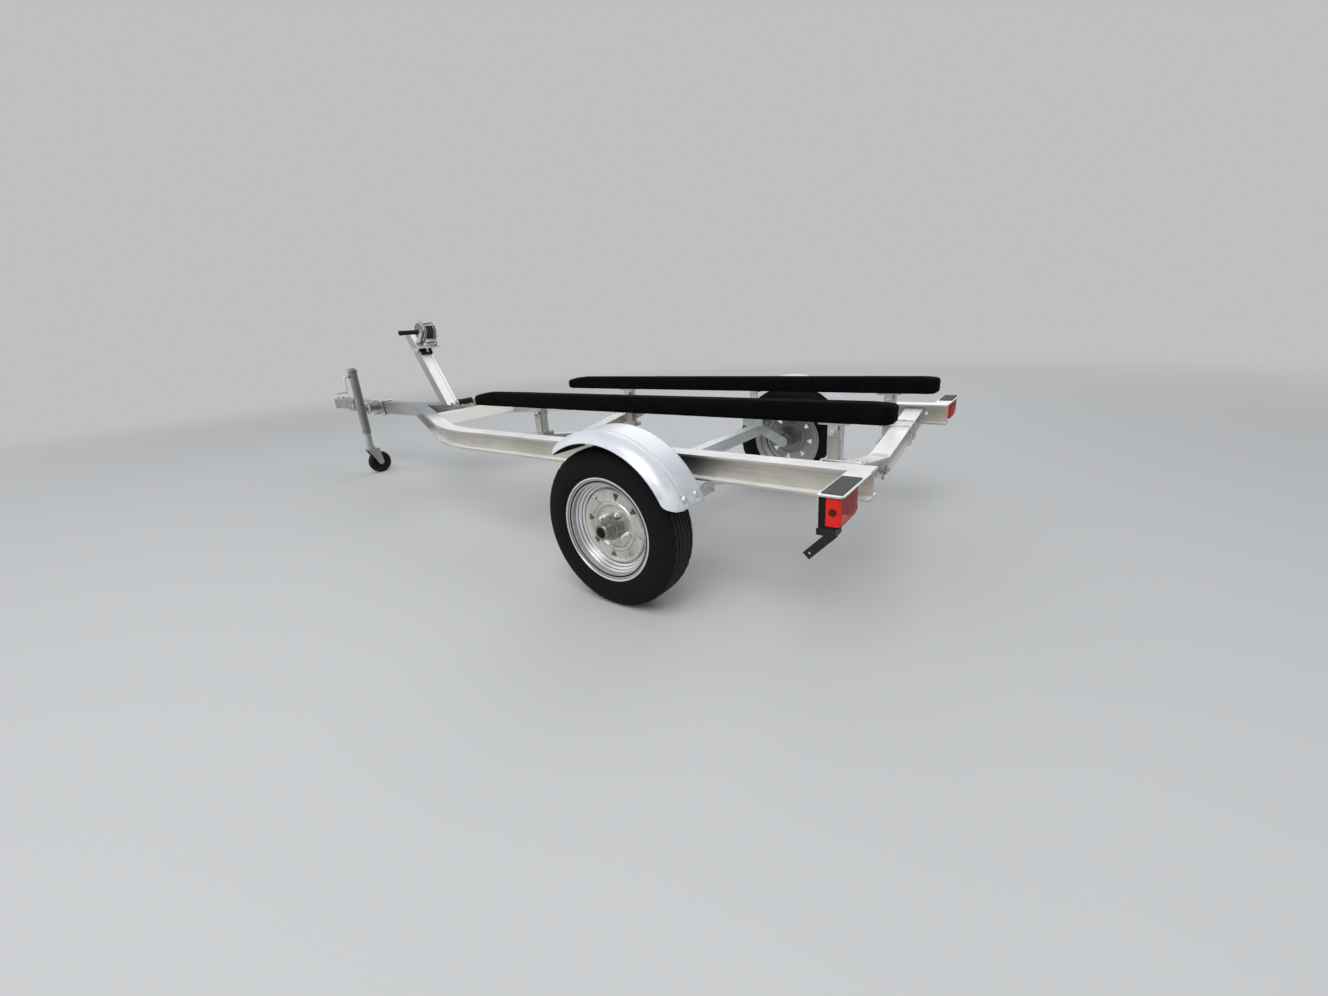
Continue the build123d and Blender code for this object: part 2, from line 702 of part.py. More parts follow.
def winch_drum():
    half = DRUM_W / 2
    drum = rod_y(DRUM_X, DRUM_Z, -half, half, DRUM_R)
    drum += rod_y(DRUM_X, DRUM_Z, -half - 3, half + 3, DRUM_R - 8)
    drum += rod_y(DRUM_X, DRUM_Z, -CHEEK_Y - 12, CHEEK_Y + 6, 9)
    drum += rod_y(DRUM_X, DRUM_Z, CHEEK_Y + CHEEK_T + 2, CHEEK_Y + CHEEK_T + 9, GEAR_R)
    return drum


def winch_crank():
    x, z = PINION_X, PINION_Z
    a = radians(CRANK_DEG)
    y0 = CHEEK_Y + CHEEK_T
    shaft = rod_y(x, z, -y0 - 8, y0 + 20, 7)
    shaft += rod_y(x, z, y0 + 2, y0 + 9, PINION_R)
    arm = Pos(x, y0 + 17, z) * Rot(0, -CRANK_DEG, 0) * box(-14, CRANK_L + 12, -3, 3, -11, 11)
    gx, gz = x + CRANK_L * cos(a), z + CRANK_L * sin(a)
    rod = rod_y(gx, gz, y0 + 20, y0 + 40, 7)
    grip = rod_y(gx, gz, y0 + 40, y0 + 156, GRIP_R)
    return shaft + arm + rod + grip


def bow_stop():
    # rubber block on the post's rear face, under the shelf
    a = radians(LEAN_DEG)
    z = WINCH_LOW - SHELF_T - 2 - STOP_T * sin(a) - STOP_HALF_H * cos(a)
    up = (z - FRAME_TOP) / cos(a)
    block = box(-STOP_T, 0, -STOP_HALF_W, STOP_HALF_W, up - STOP_HALF_H, up + STOP_HALF_H)
    return lean_plane(WPOST_FOOT_X, FRAME_TOP) * block


def keel_roller():
    x, z = ROLLER_X, ROLLER_Z
    half = ROLLER_HALF
    hole = rod_y(x, z, -half - 9, half + 9, ROLLER_PIN_R + RUN)
    return rod_y(x, z, -half, half, ROLLER_R) - hole


def keel_bracket():
    x, z = ROLLER_X, ROLLER_Z
    t = 5.0
    inner = ROLLER_HALF + 3
    base = box(x - 25, x + 25, -inner - t, inner + t, FRAME_TOP, FRAME_TOP + t)
    ear = box(x - 16, x + 16, inner, inner + t, FRAME_TOP, z) + rod_y(x, z, inner, inner + t, 16)
    pin = rod_y(x, z, -inner - t - 6, inner + t + 6, ROLLER_PIN_R)
    return base + ear + flip(ear)[0] + pin


# coupler


def coupler():
    half = TONGUE_W / 2
    t = COUPLER_T
    top = FRAME_TOP + t
    body = box(COUPLER_REAR, BALL_X, -half - t, half + t, COUPLER_LOW, top)
    body += rod_z(BALL_X, 0, COUPLER_LOW, top, NOSE_R)
    rim = body.faces().sort_by(Axis.Z)[-1].edges()
    body = fillet([e for e in rim if e.center().X > COUPLER_REAR + 1], COUPLER_ROUND / 2)
    body -= box(COUPLER_REAR - 1, TONGUE_END + 110, -half, half, 0, FRAME_TOP)
    body -= rod_z(BALL_X, 0, COUPLER_LOW - 1, COUPLER_LOW + BALL_DEPTH, BALL_R)
    return body


def coupler_latch():
    # block on top of the ball housing and a long flat lever lying back along the coupler
    top = FRAME_TOP + COUPLER_T
    block = box(BALL_X - 66, BALL_X + 4, -13, 13, top, top + 18)
    high = top + 22
    lever = box(BALL_X - LEVER_L, BALL_X + 10, -12, 12, high - LEVER_T, high)
    grip = box(BALL_X - LEVER_L, BALL_X - LEVER_L + 34, -16, 16, high - LEVER_T - 4, high + 4)
    neck = box(BALL_X - 60, BALL_X, -8, 8, top + 10, high)
    return block + lever + grip + neck


# jack


def jack_bracket():
    half = TONGUE_W / 2
    z0, z1 = FRAME_LOW - 10, FRAME_TOP + 10
    face = JACK_Y - JACK_R - 16
    plate = box(JACK_X - JACK_PLATE_HALF, JACK_X + JACK_PLATE_HALF, half, half + 7, z0, z1)
    barrel = rod_y(JACK_X, JACK_PIVOT_Z, half + 7, face, 24)
    ring = rod_y(JACK_X, JACK_PIVOT_Z, face - 5, face, 42)
    return plate + barrel + ring


def jack_tube():
    # outer tube with its cap and the turning half of the swivel
    face = JACK_Y - JACK_R - 16
    tube = rod_z(JACK_X, JACK_Y, JACK_LOW, JACK_TOP, JACK_R)
    tube -= rod_z(JACK_X, JACK_Y, JACK_LOW - 1, LEG_TOP + LEG_UP + 5, LEG_R + JACK_GAP)
    cap = rod_z(JACK_X, JACK_Y, JACK_TOP, JACK_TOP + 12, JACK_R + 4)
    cap += rod_z(JACK_X, JACK_Y, JACK_TOP + 12, JACK_TOP + 22, JACK_R - 6)
    flange = rod_y(JACK_X, JACK_PIVOT_Z, face + SKIN, face + 7, 42)
    saddle = rod_y(JACK_X, JACK_PIVOT_Z, face + 7, JACK_Y - 10, 24)
    saddle -= rod_z(JACK_X, JACK_Y, JACK_LOW - 1, JACK_TOP, JACK_R - 1)
    return tube + cap + flange + saddle


def jack_crank():
    # side shaft through the tube's upper end, an arm that hangs down and a grip pointing out
    z = JACK_CRANK_Z
    y0 = JACK_Y + JACK_R + SKIN
    shaft = rod_y(JACK_X, z, y0, y0 + 34, 8)
    arm = box(JACK_X - 9, JACK_X + 9, y0 + 28, y0 + 34, z - JACK_ARM - 9, z + 11)
    grip = rod_y(JACK_X, z - JACK_ARM, y0 + 34, y0 + 34 + JACK_GRIP_L, 11)
    return shaft + arm + grip


LEG_LOW = 2 * JWHEEL_R + FORK_RISE


def jack_leg():
    return rod_z(JACK_X, JACK_Y, LEG_LOW, LEG_TOP, LEG_R)


def caster_fork():
    # crown plate and two tapered plates down to the wheel's pin
    top = LEG_LOW - SKIN
    t = 5.0
    w = JWHEEL_W / 2 + 4
    cy = JACK_Y - CASTER_TRAIL
    end = 19.0
    crown = rod_z(JACK_X, JACK_Y, top - 12, top, 30)
    bridge = box(JACK_X - w - t, JACK_X + w + t, JACK_Y - 44, JACK_Y + 26, top - 17, top - 12)
    z0 = top - 12
    side = Plane.YZ * make_face(Polyline(
        (JACK_Y - 44, z0), (JACK_Y + 26, z0), (JACK_Y + 26, z0 - 12), (cy + 14, JWHEEL_R - 13),
        (cy - end, JWHEEL_R), close=True,
    ))
    plate = Pos(JACK_X + w, 0, 0) * extrude(side, t) + rod_x(cy, JWHEEL_R, JACK_X + w, JACK_X + w + t, end)
    other = mirror(plate, about=Plane.YZ.offset(JACK_X))
    pin = rod_x(cy, JWHEEL_R, JACK_X - w - t - 6, JACK_X + w + t + 6, 8)
    return crown + bridge + plate + other + pin


def jack_wheel():
    cy = JACK_Y - CASTER_TRAIL
    w = JWHEEL_W / 2
    wheel = rod_x(cy, JWHEEL_R, JACK_X - w, JACK_X + w, JWHEEL_R)
    wheel = fillet(wheel.edges(), 6)
    wheel -= rod_x(cy, JWHEEL_R, JACK_X - w - 1, JACK_X + w + 1, 8 + RUN)
    return wheel


# write


ONE_OFFS = {
    "tongue_beam": tongue,
    "cross_front": cross_front,
    "frame_plates": frame_plates,
    "axle_tube": axle_tube,
    "axle_hangers": axle_hangers,
    "fender_straps": fender_straps,
    "plate_bracket": plate_bracket,
    "winch_post": winch_post,
    "winch_frame": winch_frame,
    "winch_drum": winch_drum,
    "winch_crank": winch_crank,
    "bow_stop": bow_stop,
    "keel_roller": keel_roller,
    "keel_bracket": keel_bracket,
    "coupler": coupler,
    "coupler_latch": coupler_latch,
    "jack_bracket": jack_bracket,
    "jack_tube": jack_tube,
    "jack_crank": jack_crank,
    "jack_leg": jack_leg,
    "caster_fork": caster_fork,
    "jack_wheel": jack_wheel,
}

PAIRS = {
    "rail": rail,
    "torsion_arm": torsion_arm,
    "hub": hub,
    "rim": rim,
    "tyre": tyre,
    "fender": fender,
    "bunk": bunk,
    "light_box": light_box,
    "tail_lamp": tail_lamp,
}

for name, make in ONE_OFFS.items():
    save(name, make())

for name, make in PAIRS.items():
    left = make()
    save(name + "_left", left)
    save(name + "_right", flip(left))

save("cross_middle", cross_bent(MIDDLE_X))
save("cross_rear", cross_bent(REAR_CROSS_X))
save("light_pads", both(light_pad()))
save("bunk_posts", both([bunk_post(x, way) for x, way in POSTS]))
save("bunk_saddles", both([bunk_saddle(x, way) for x, way in POSTS]))
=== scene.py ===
import math

import bmesh
import bpy
from mathutils import Matrix, Vector, noise


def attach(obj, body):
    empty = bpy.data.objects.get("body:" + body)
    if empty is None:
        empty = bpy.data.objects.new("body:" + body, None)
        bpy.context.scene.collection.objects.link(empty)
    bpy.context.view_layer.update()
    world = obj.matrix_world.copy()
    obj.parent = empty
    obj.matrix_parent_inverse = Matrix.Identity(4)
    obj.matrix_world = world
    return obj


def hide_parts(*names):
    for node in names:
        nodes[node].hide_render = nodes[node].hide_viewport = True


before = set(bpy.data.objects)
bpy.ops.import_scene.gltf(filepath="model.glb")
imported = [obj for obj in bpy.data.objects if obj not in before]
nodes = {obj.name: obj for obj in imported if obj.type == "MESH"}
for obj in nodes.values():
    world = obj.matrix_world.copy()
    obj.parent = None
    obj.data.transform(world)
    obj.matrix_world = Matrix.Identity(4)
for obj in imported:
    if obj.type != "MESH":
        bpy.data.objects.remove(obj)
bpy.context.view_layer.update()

# Places are measured from the wheel axle along X, in metres, and moved to the frame's origin.
OX = -1.373
# Shapes are in millimetres; the tyre's radius and the wheel's middle plane are shared by many of them.
TYRE_R, WHEEL_Y = 266.7, 700.0


def at(x, y, z):
    return Vector((x + OX, y, z))


def new_object(name, data):
    o = bpy.data.objects.new(name, data)
    bpy.context.collection.objects.link(o)
    return o


# camera

CAM = (-1.10016, 1.88918, 0.87545)
YAW, PITCH, ROLL = (math.radians(v) for v in (-52.83691, 18.14867, -4.03966))
FOCAL_PX, WIDE_PX = 528.206, 1328
SENSOR = 36


def make_camera():
    fwd = Vector((math.cos(YAW) * math.cos(PITCH), math.sin(YAW) * math.cos(PITCH), -math.sin(PITCH)))
    right = Vector((math.sin(YAW), -math.cos(YAW), 0))
    up = right.cross(fwd)
    r = right * math.cos(ROLL) + up * math.sin(ROLL)
    u = up * math.cos(ROLL) - right * math.sin(ROLL)
    data = bpy.data.cameras.new("camera")
    data.sensor_width = SENSOR
    data.lens = FOCAL_PX / WIDE_PX * SENSOR
    data.clip_start = 0.05
    data.clip_end = 60
    cam = new_object("camera", data)
    m = Matrix((r, u, -fwd)).transposed().to_4x4()
    m.translation = at(*CAM)
    cam.matrix_world = m
    bpy.context.scene.camera = cam


# materials


def rgba(color):
    return (*color, 1) if isinstance(color, tuple) else (color, color, color, 1)


def feed(tree, socket, value):
    # a link, or a number or colour that is set on the socket itself
    if isinstance(value, bpy.types.NodeSocket):
        tree.links.new(value, socket)
    else:
        socket.default_value = rgba(value) if socket.type == "RGBA" else value


def add_node(tree, kind, inputs=(), **settings):
    n = tree.nodes.new(kind)
    for key, value in settings.items():
        setattr(n, key, value)
    for key, value in dict(inputs).items():
        feed(tree, n.inputs[key], value)
    return n


class Nodes:
    def __init__(self, name):
        self.mat = bpy.data.materials.new(name)
        self.mat.use_nodes = True
        self.tree = self.mat.node_tree
        self.bsdf = self.tree.nodes["Principled BSDF"]
        self.coord = self.add("ShaderNodeTexCoord").outputs["Object"]

    def add(self, kind, inputs=(), **settings):
        return add_node(self.tree, kind, inputs, **settings)

    def scaled(self, scale):
        return self.add("ShaderNodeMapping", {"Scale": scale, "Vector": self.coord}).outputs["Vector"]

    def noise(self, scale, detail=4.0, rough=0.55, vector=None, distort=0.0):
        n = self.add("ShaderNodeTexNoise", {
            "Scale": scale, "Detail": detail, "Roughness": rough, "Distortion": distort,
            "Vector": vector or self.coord,
        })
        return n.outputs["Fac"]

    def cells(self, scale):
        return self.add("ShaderNodeTexVoronoi", {"Scale": scale, "Vector": self.coord}).outputs

    def wave(self, scale, direction, distort):
        inputs = {"Scale": scale, "Distortion": distort, "Vector": self.coord}
        return self.add("ShaderNodeTexWave", inputs, bands_direction=direction).outputs["Fac"]

    def ramp(self, fac, stops):
        n = self.add("ShaderNodeValToRGB", {"Fac": fac})
        el = n.color_ramp.elements
        while len(el) < len(stops):
            el.new(0.5)
        for e, (place, color) in zip(el, stops):
            e.position = place
            e.color = rgba(color)
        return n.outputs["Color"]

    def mix(self, fac, a, b):
        return self.add("ShaderNodeMix", {0: fac, 6: a, 7: b}, data_type="RGBA").outputs[2]

    def span(self, value, low, high, out_low=0.0, out_high=1.0):
        inputs = {"From Min": low, "From Max": high, "To Min": out_low, "To Max": out_high, "Value": value}
        return self.add("ShaderNodeMapRange", inputs).outputs["Result"]

    def axis(self, which):
        return self.add("ShaderNodeSeparateXYZ", {0: self.coord}).outputs[which]

    def normal(self, which):
        facing = self.add("ShaderNodeNewGeometry").outputs["Normal"]
        return self.add("ShaderNodeSeparateXYZ", {0: facing}).outputs[which]

    def calc(self, a, b, kind="MULTIPLY"):
        return self.add("ShaderNodeMath", {0: a, 1: b}, operation=kind).outputs[0]

    def near(self, which, centre, half):
        # 1 at a place along one axis, falling to 0 at half to each side
        away = self.calc(self.axis(which), centre, "SUBTRACT")
        return self.span(self.calc(away, away), 0.0, half * half, 1.0, 0.0)

    def bump(self, height, strength, distance, under=None):
        n = self.add("ShaderNodeBump", {"Strength": strength, "Distance": distance, "Height": height})
        if under is not None:
            feed(self.tree, n.inputs["Normal"], under)
        return n.outputs["Normal"]

    def put(self, **sockets):
        for key, value in sockets.items():
            feed(self.tree, self.bsdf.inputs[key.replace("_", " ")], value)
        return self.mat


# tones of upright faces: darker and browner, as painted shade and painted reflection of the ground
SHADED_SIDE_TONES = ((0.47, 0.445, 0.39), (0.68, 0.655, 0.585))


def aluminium(name, along, side=SHADED_SIDE_TONES, turn=(0.35, 0.85), top=0.97, mark=None, metal=0.66):
    # mill finish with drawn streaks; upward faces are painted pale as painted light, upright faces darker
    # and browner as painted shade and painted reflection of the ground
    n = Nodes(name)
    stretch = {"X": (3, 160, 160), "Y": (160, 3, 160), "Z": (160, 160, 3)}[along]
    grain = n.noise(1.0, 3, 0.5, n.scaled(stretch))
    blot = n.noise(7, 6, 0.62)
    fine = n.noise(420, 2, 0.5)
    up = n.span(n.normal("Z"), *turn)
    low, high = side
    wall = n.mix(0.5, n.ramp(grain, [(0.3, low), (0.7, high)]), n.ramp(blot, [(0.35, low), (0.65, high)]))
    crown = n.mix(
        0.4, n.ramp(grain, [(0.3, top * 0.9), (0.7, top)]), n.ramp(blot, [(0.35, top * 0.86), (0.65, top)]),
    )
    if along == "X":
        # towards the slanted front the tops turn darker and bluer and the webs darker; just behind the
        # fender the web carries a painted shadow and painted reflection of the fender
        crown = n.mix(n.span(n.axis("X"), 0.05, 0.36, 0.0, 0.95), crown, (0.26, 0.28, 0.315))
        wall = n.mix(n.span(n.axis("X"), 0.15, 0.60, 0.0, 0.5), wall, (0.36, 0.36, 0.35))
        # painted shadow and reflection of the fender on the web
        wall = n.mix(n.calc(n.near("X", -1.50, 0.17), 0.85), wall, (0.06, 0.062, 0.068))
    col = n.mix(up, wall, crown)
    if mark == "press":
        spot = n.calc(n.near("X", -2.0, 0.036), n.near("Y", 0.0, 0.030))
        col = n.mix(n.span(spot, 0.30, 0.42, 0.0, 0.45), col, (0.34, 0.34, 0.33))
    if mark == "groove":
        # a dark line painted as the shade in a groove on the post's back
        col = n.mix(n.calc(n.near("Y", -0.0205, 0.0022), 0.75), col, (0.16, 0.16, 0.16))
    rough = n.span(blot, 0.3, 0.7, 0.30, 0.50)
    return n.put(
        Base_Color=col, Metallic=n.span(up, 0.0, 1.0, metal, 0.30), Roughness=rough,
        Normal=n.bump(fine, 0.10, 0.001, n.bump(grain, 0.15, 0.0006)),
    )


def galvanised(name, scale, tint, spangle=0.5, rough=(0.30, 0.44), metallic=0.7):
    n = Nodes(name)
    low, high = max(0.0, min(tint) - 0.16), min(1.0, max(tint) + 0.05)
    shade = n.ramp(n.cells(scale)["Color"], [(0.2, low), (0.8, high)])
    cloud = n.noise(14, 5, 0.6)
    col = n.mix(spangle, tint, shade)
    col = n.mix(n.span(cloud, 0.5, 0.75, 0.0, 0.4), col, tuple(c * 0.8 for c in tint))
    return n.put(
        Base_Color=col, Metallic=metallic, Roughness=n.span(cloud, 0.3, 0.7, *rough),
        Normal=n.bump(n.noise(160, 3, 0.5), 0.10, 0.0006),
    )


def zinc(name, tint=(0.40, 0.405, 0.37), high=(0.60, 0.605, 0.56), rust=0.25, back_shade=0.85):
    # plated steel; the sides that face back are painted darker as painted shade
    n = Nodes(name)
    cloud = n.noise(22, 5, 0.6, distort=0.4)
    col = n.ramp(cloud, [(0.30, tuple(c * 0.84 for c in tint)), (0.52, tint), (0.85, high)])
    worn = n.span(n.noise(60, 6, 0.7), 0.66, 0.80, 0.0, rust)
    col = n.mix(worn, col, (0.26, 0.20, 0.14))
    # painted shade on faces turned towards the back
    col = n.mix(n.span(n.normal("X"), -0.35, -0.95, 0.0, back_shade), col, tuple(c * 0.30 for c in tint))
    return n.put(
        Base_Color=col, Metallic=0.7, Roughness=n.span(cloud, 0.3, 0.7, 0.24, 0.42),
        Normal=n.bump(n.noise(240, 3, 0.5), 0.12, 0.0006),
    )


def wheel_metal(name, tint, rings=False):
    # smooth zinc with soft dark clouds of painted reflection; painted shade lies in the corners of the
    # barrel's steps
    n = Nodes(name)
    cloud = n.noise(30, 4, 0.6, distort=0.3)
    # the soft dark clouds, strongest on the disc, are painted reflection
    col = n.mix(n.span(cloud, 0.42, 0.72, 0.0, 0.2 if rings else 0.55), tint, tuple(c * 0.45 for c in tint))
    if rings:
        out = n.calc(n.axis("Y"), 0.0, "ABSOLUTE")
        for y in (0.7472, 0.7378, 0.7290, 0.7192, 0.7548):
            away = n.calc(out, y, "SUBTRACT")
            # dark lines of painted shade in the corners of the steps
            step_shade = n.span(n.calc(away, away), 0.0, 0.0030 ** 2, 0.80, 0.0)
            col = n.mix(step_shade, col, (0.09, 0.095, 0.10))
    return n.put(
        Base_Color=col, Metallic=0.72, Roughness=n.span(cloud, 0.3, 0.7, 0.24, 0.34),
        Normal=n.bump(n.noise(60, 2, 0.5), 0.015, 0.0006),
    )


def fender_skin(name):
    # pale pressed steel with a satin coat, cloudy and scuffed towards its rear end
    n = Nodes(name)
    cloud = n.noise(7, 5, 0.6)
    speck = n.noise(130, 3, 0.6)
    col = n.ramp(cloud, [(0.3, (0.63, 0.65, 0.70)), (0.7, (0.72, 0.74, 0.78))])
    grime = n.span(n.noise(18, 6, 0.65), 0.47, 0.55, 0.0, 0.75)
    low = n.span(n.axis("Z"), 0.34, 0.50, 1.0, 0.05)
    col = n.mix(n.calc(grime, low), col, (0.43, 0.44, 0.445))
    streak = n.span(n.noise(1.0, 4, 0.6, n.scaled((50, 6, 14))), 0.60, 0.74, 0.0, 0.30)
    col = n.mix(streak, col, (0.84, 0.85, 0.87))
    return n.put(
        Base_Color=col, Metallic=0.25, Roughness=n.span(cloud, 0.3, 0.7, 0.28, 0.40),
        Coat_Weight=0.15, Coat_Roughness=0.2,
        Normal=n.bump(speck, 0.08, 0.0006),
    )


def rubber(name, dark, light, rough, grain, tread=False):
    n = Nodes(name)
    cloud = n.noise(18, 5, 0.6)
    col = n.ramp(cloud, [(0.3, dark), (0.72, light)])
    dust = n.span(n.noise(45, 5, 0.7), 0.58, 0.8, 0.0, 0.14)
    col = n.mix(dust, col, (0.04, 0.038, 0.034))
    if tread:
        # the ribs are dusty from the road, the grooves between them stay black
        flat = n.add("ShaderNodeVectorMath", {0: n.coord, 1: (1, 0, 1)}, operation="MULTIPLY")
        axle = (OX, 0, TYRE_R / 1000)
        far = n.add("ShaderNodeVectorMath", {0: flat.outputs[0], 1: axle}, operation="DISTANCE")
        col = n.mix(n.span(far.outputs["Value"], 0.2635, 0.2655, 0.0, 0.75), col, (0.034, 0.031, 0.028))
    return n.put(
        Base_Color=col, Roughness=n.span(cloud, 0.3, 0.7, rough - 0.08, rough + 0.12),
        Specular_IOR_Level=0.16,
        Normal=n.bump(n.noise(grain, 3, 0.6), 0.25, 0.0006),
    )


def carpet(name):
    n = Nodes(name)
    fibre = n.noise(900, 4, 0.7)
    clump = n.noise(120, 4, 0.65)
    rib = n.wave(150, "Y", 1.2)
    col = n.ramp(clump, [(0.3, (0.0012, 0.0012, 0.0014)), (0.7, (0.0045, 0.0045, 0.005))])
    col = n.mix(n.span(n.noise(26, 4, 0.6), 0.52, 0.75, 0.0, 0.3), col, (0.010, 0.0095, 0.0095))
    return n.put(
        Base_Color=col, Roughness=0.98, Sheen_Weight=0.01, Sheen_Roughness=0.5, Specular_IOR_Level=0.04,
        Normal=n.bump(fibre, 0.9, 0.0020, n.bump(clump, 0.5, 0.002, n.bump(rib, 0.15, 0.0008))),
    )


def painted(name, color, rough=0.45, metallic=0.2):
    n = Nodes(name)
    cloud = n.noise(26, 5, 0.6)
    low, high = tuple(c * 0.75 for c in color), tuple(min(1, c * 1.2) for c in color)
    col = n.ramp(cloud, [(0.3, low), (0.7, high)])
    worn = n.span(n.noise(70, 6, 0.7), 0.66, 0.78, 0.0, 0.4)
    col = n.mix(worn, col, (0.16, 0.15, 0.14))
    return n.put(
        Base_Color=col, Metallic=metallic, Roughness=n.span(cloud, 0.3, 0.7, rough - 0.08, rough + 0.12),
        Specular_IOR_Level=0.35,
        Normal=n.bump(n.noise(300, 3, 0.5), 0.2, 0.0005),
    )


def lens(name, color, coat=0.25):
    n = Nodes(name)
    cloud = n.noise(30, 4, 0.6)
    facet = n.cells(240)["Distance"]
    col = n.mix(n.span(cloud, 0.3, 0.75, 0.0, 0.3), color, tuple(c * 0.62 for c in color))
    return n.put(
        Base_Color=col, Roughness=n.span(cloud, 0.3, 0.7, 0.16, 0.28), Coat_Weight=coat, Coat_Roughness=0.1,
        Specular_IOR_Level=0.12,
        Normal=n.bump(facet, 0.30, 0.0012),
    )


def grit(name):
    n = Nodes(name)
    grains = n.cells(520)["Distance"]
    col = n.ramp(n.noise(300, 4, 0.7), [(0.3, 0.035), (0.7, 0.12)])
    return n.put(Base_Color=col, Roughness=0.9, Normal=n.bump(grains, 0.8, 0.0015))


def webbing(name):
    n = Nodes(name)
    weave = n.wave(190, "DIAGONAL", 0.5)
    cloud = n.noise(40, 4, 0.6)
    col = n.mix(weave, n.ramp(cloud, [(0.3, 0.005), (0.7, 0.014)]), (0.024, 0.023, 0.022))
    return n.put(Base_Color=col, Roughness=0.85, Sheen_Weight=0.05, Normal=n.bump(weave, 0.5, 0.0008))


M = {
    "alu_x": aluminium("drawn_alu_x", "X"),
    "alu_y": aluminium("drawn_alu_y", "Y"),
    "alu_z": aluminium("drawn_alu_z", "Z"),
    "alu_mark": aluminium("drawn_alu_marked", "Y", mark="press"),
    "alu_front": aluminium("drawn_alu_front", "Y", ((0.90, 0.885, 0.82), (0.97, 0.955, 0.89)), metal=0.0),
    # the upright's sides are painted darker than its lit rear face, as painted shade
    "alu_post": aluminium(
        "drawn_alu_post", "Z", ((0.36, 0.36, 0.34), (0.50, 0.50, 0.47)), (0.28, 0.46), 0.98, "groove"),
    "galv": galvanised("galvanised", 70, (0.56, 0.585, 0.59)),
    "galv_tube": galvanised("galvanised_tube", 60, (0.78, 0.83, 0.845), 0.25, (0.26, 0.40), 0.6),
    "hub": galvanised("hub_metal", 150, (0.27, 0.28, 0.265), 0.2, (0.18, 0.32), 0.75),
    "galv_wheel": wheel_metal("galvanised_wheel", (0.76, 0.775, 0.775), rings=True),
    "disc": wheel_metal("zinc_disc", (0.70, 0.685, 0.62)),
    # darker inside of the wheel, as painted shade
    "wheel_inside_shade": galvanised("wheel_inside_shade", 110, (0.44, 0.44, 0.42), 0.25, (0.36, 0.50), 0.6),
    "winch_disc": galvanised("winch_disc", 120, (0.21, 0.235, 0.215), 0.3, (0.26, 0.40), 0.6),
    "zinc": zinc("zinc_plate"),
    "zinc_white": zinc("zinc_white", (0.62, 0.63, 0.61), (0.84, 0.85, 0.84), 0.3, 0.7),
    "bright": zinc("bright_plate", (0.86, 0.87, 0.86), (0.96, 0.96, 0.95), 0.1, 0.35),
    "fender": fender_skin("fender_skin"),
    # near-black painted shade for the fender's underside and turned-down front
    "under": painted("fender_underside_shade", (0.030, 0.030, 0.030), 0.6, 0.1),
    "tyre": rubber("tyre_rubber", 0.002, 0.006, 0.72, 260, True),
    "rubber": rubber("black_rubber", 0.004, 0.012, 0.55, 420),
    "carpet": carpet("marine_carpet"),
    "dark": painted("dark_steel", (0.014, 0.014, 0.015)),
    "red": lens("red_lens", (0.74, 0.018, 0.010)),
    "red_deep": lens("deep_red_lens", (0.26, 0.006, 0.012), 0.0),
    "red_mark": lens("dark_red_mark", (0.10, 0.004, 0.006)),
    "pale_red": lens("pale_red_lens", (0.66, 0.025, 0.03), 0.0),
    "grit": grit("grit_pad"),
    "strap": webbing("strap_webbing"),
}

# CAD nodes that stay, by their material
NODE_MATERIAL = {
    "alu_x": "rail_left rail_right tongue_beam frame_plates",
    "alu_front": "cross_front",
    "alu_y": "cross_middle light_box_left light_box_right",
    "alu_mark": "cross_rear",
    "galv_tube": "axle_tube",
    "galv": "axle_hangers torsion_arm_left torsion_arm_right fender_straps bunk_saddles winch_frame "
            "keel_bracket",
    "alu_z": "bunk_posts",
    "alu_post": "winch_post",
    "grit": "light_pads",
    "dark": "plate_bracket",
    "rubber": "bow_stop",
    "zinc": "coupler jack_bracket jack_tube",
    "zinc_white": "jack_leg caster_fork",
}


def soften(o, width, segments):
    # hard edges get a narrow rounding
    m = o.modifiers.new("edge", "BEVEL")
    m.width = width
    m.segments = segments
    m.limit_method = "ANGLE"
    m.angle_limit = math.radians(40)
    m.harden_normals = True


for key, names in NODE_MATERIAL.items():
    for name in names.split():
        nodes[name].data.materials.clear()
        nodes[name].data.materials.append(M[key])
        soften(nodes[name], 0.0012, 2)

make_camera()


# mesh building, in millimetres with X measured from the wheel axle

X, Y, Z = (Vector(v) for v in ((1, 0, 0), (0, 1, 0), (0, 0, 1)))


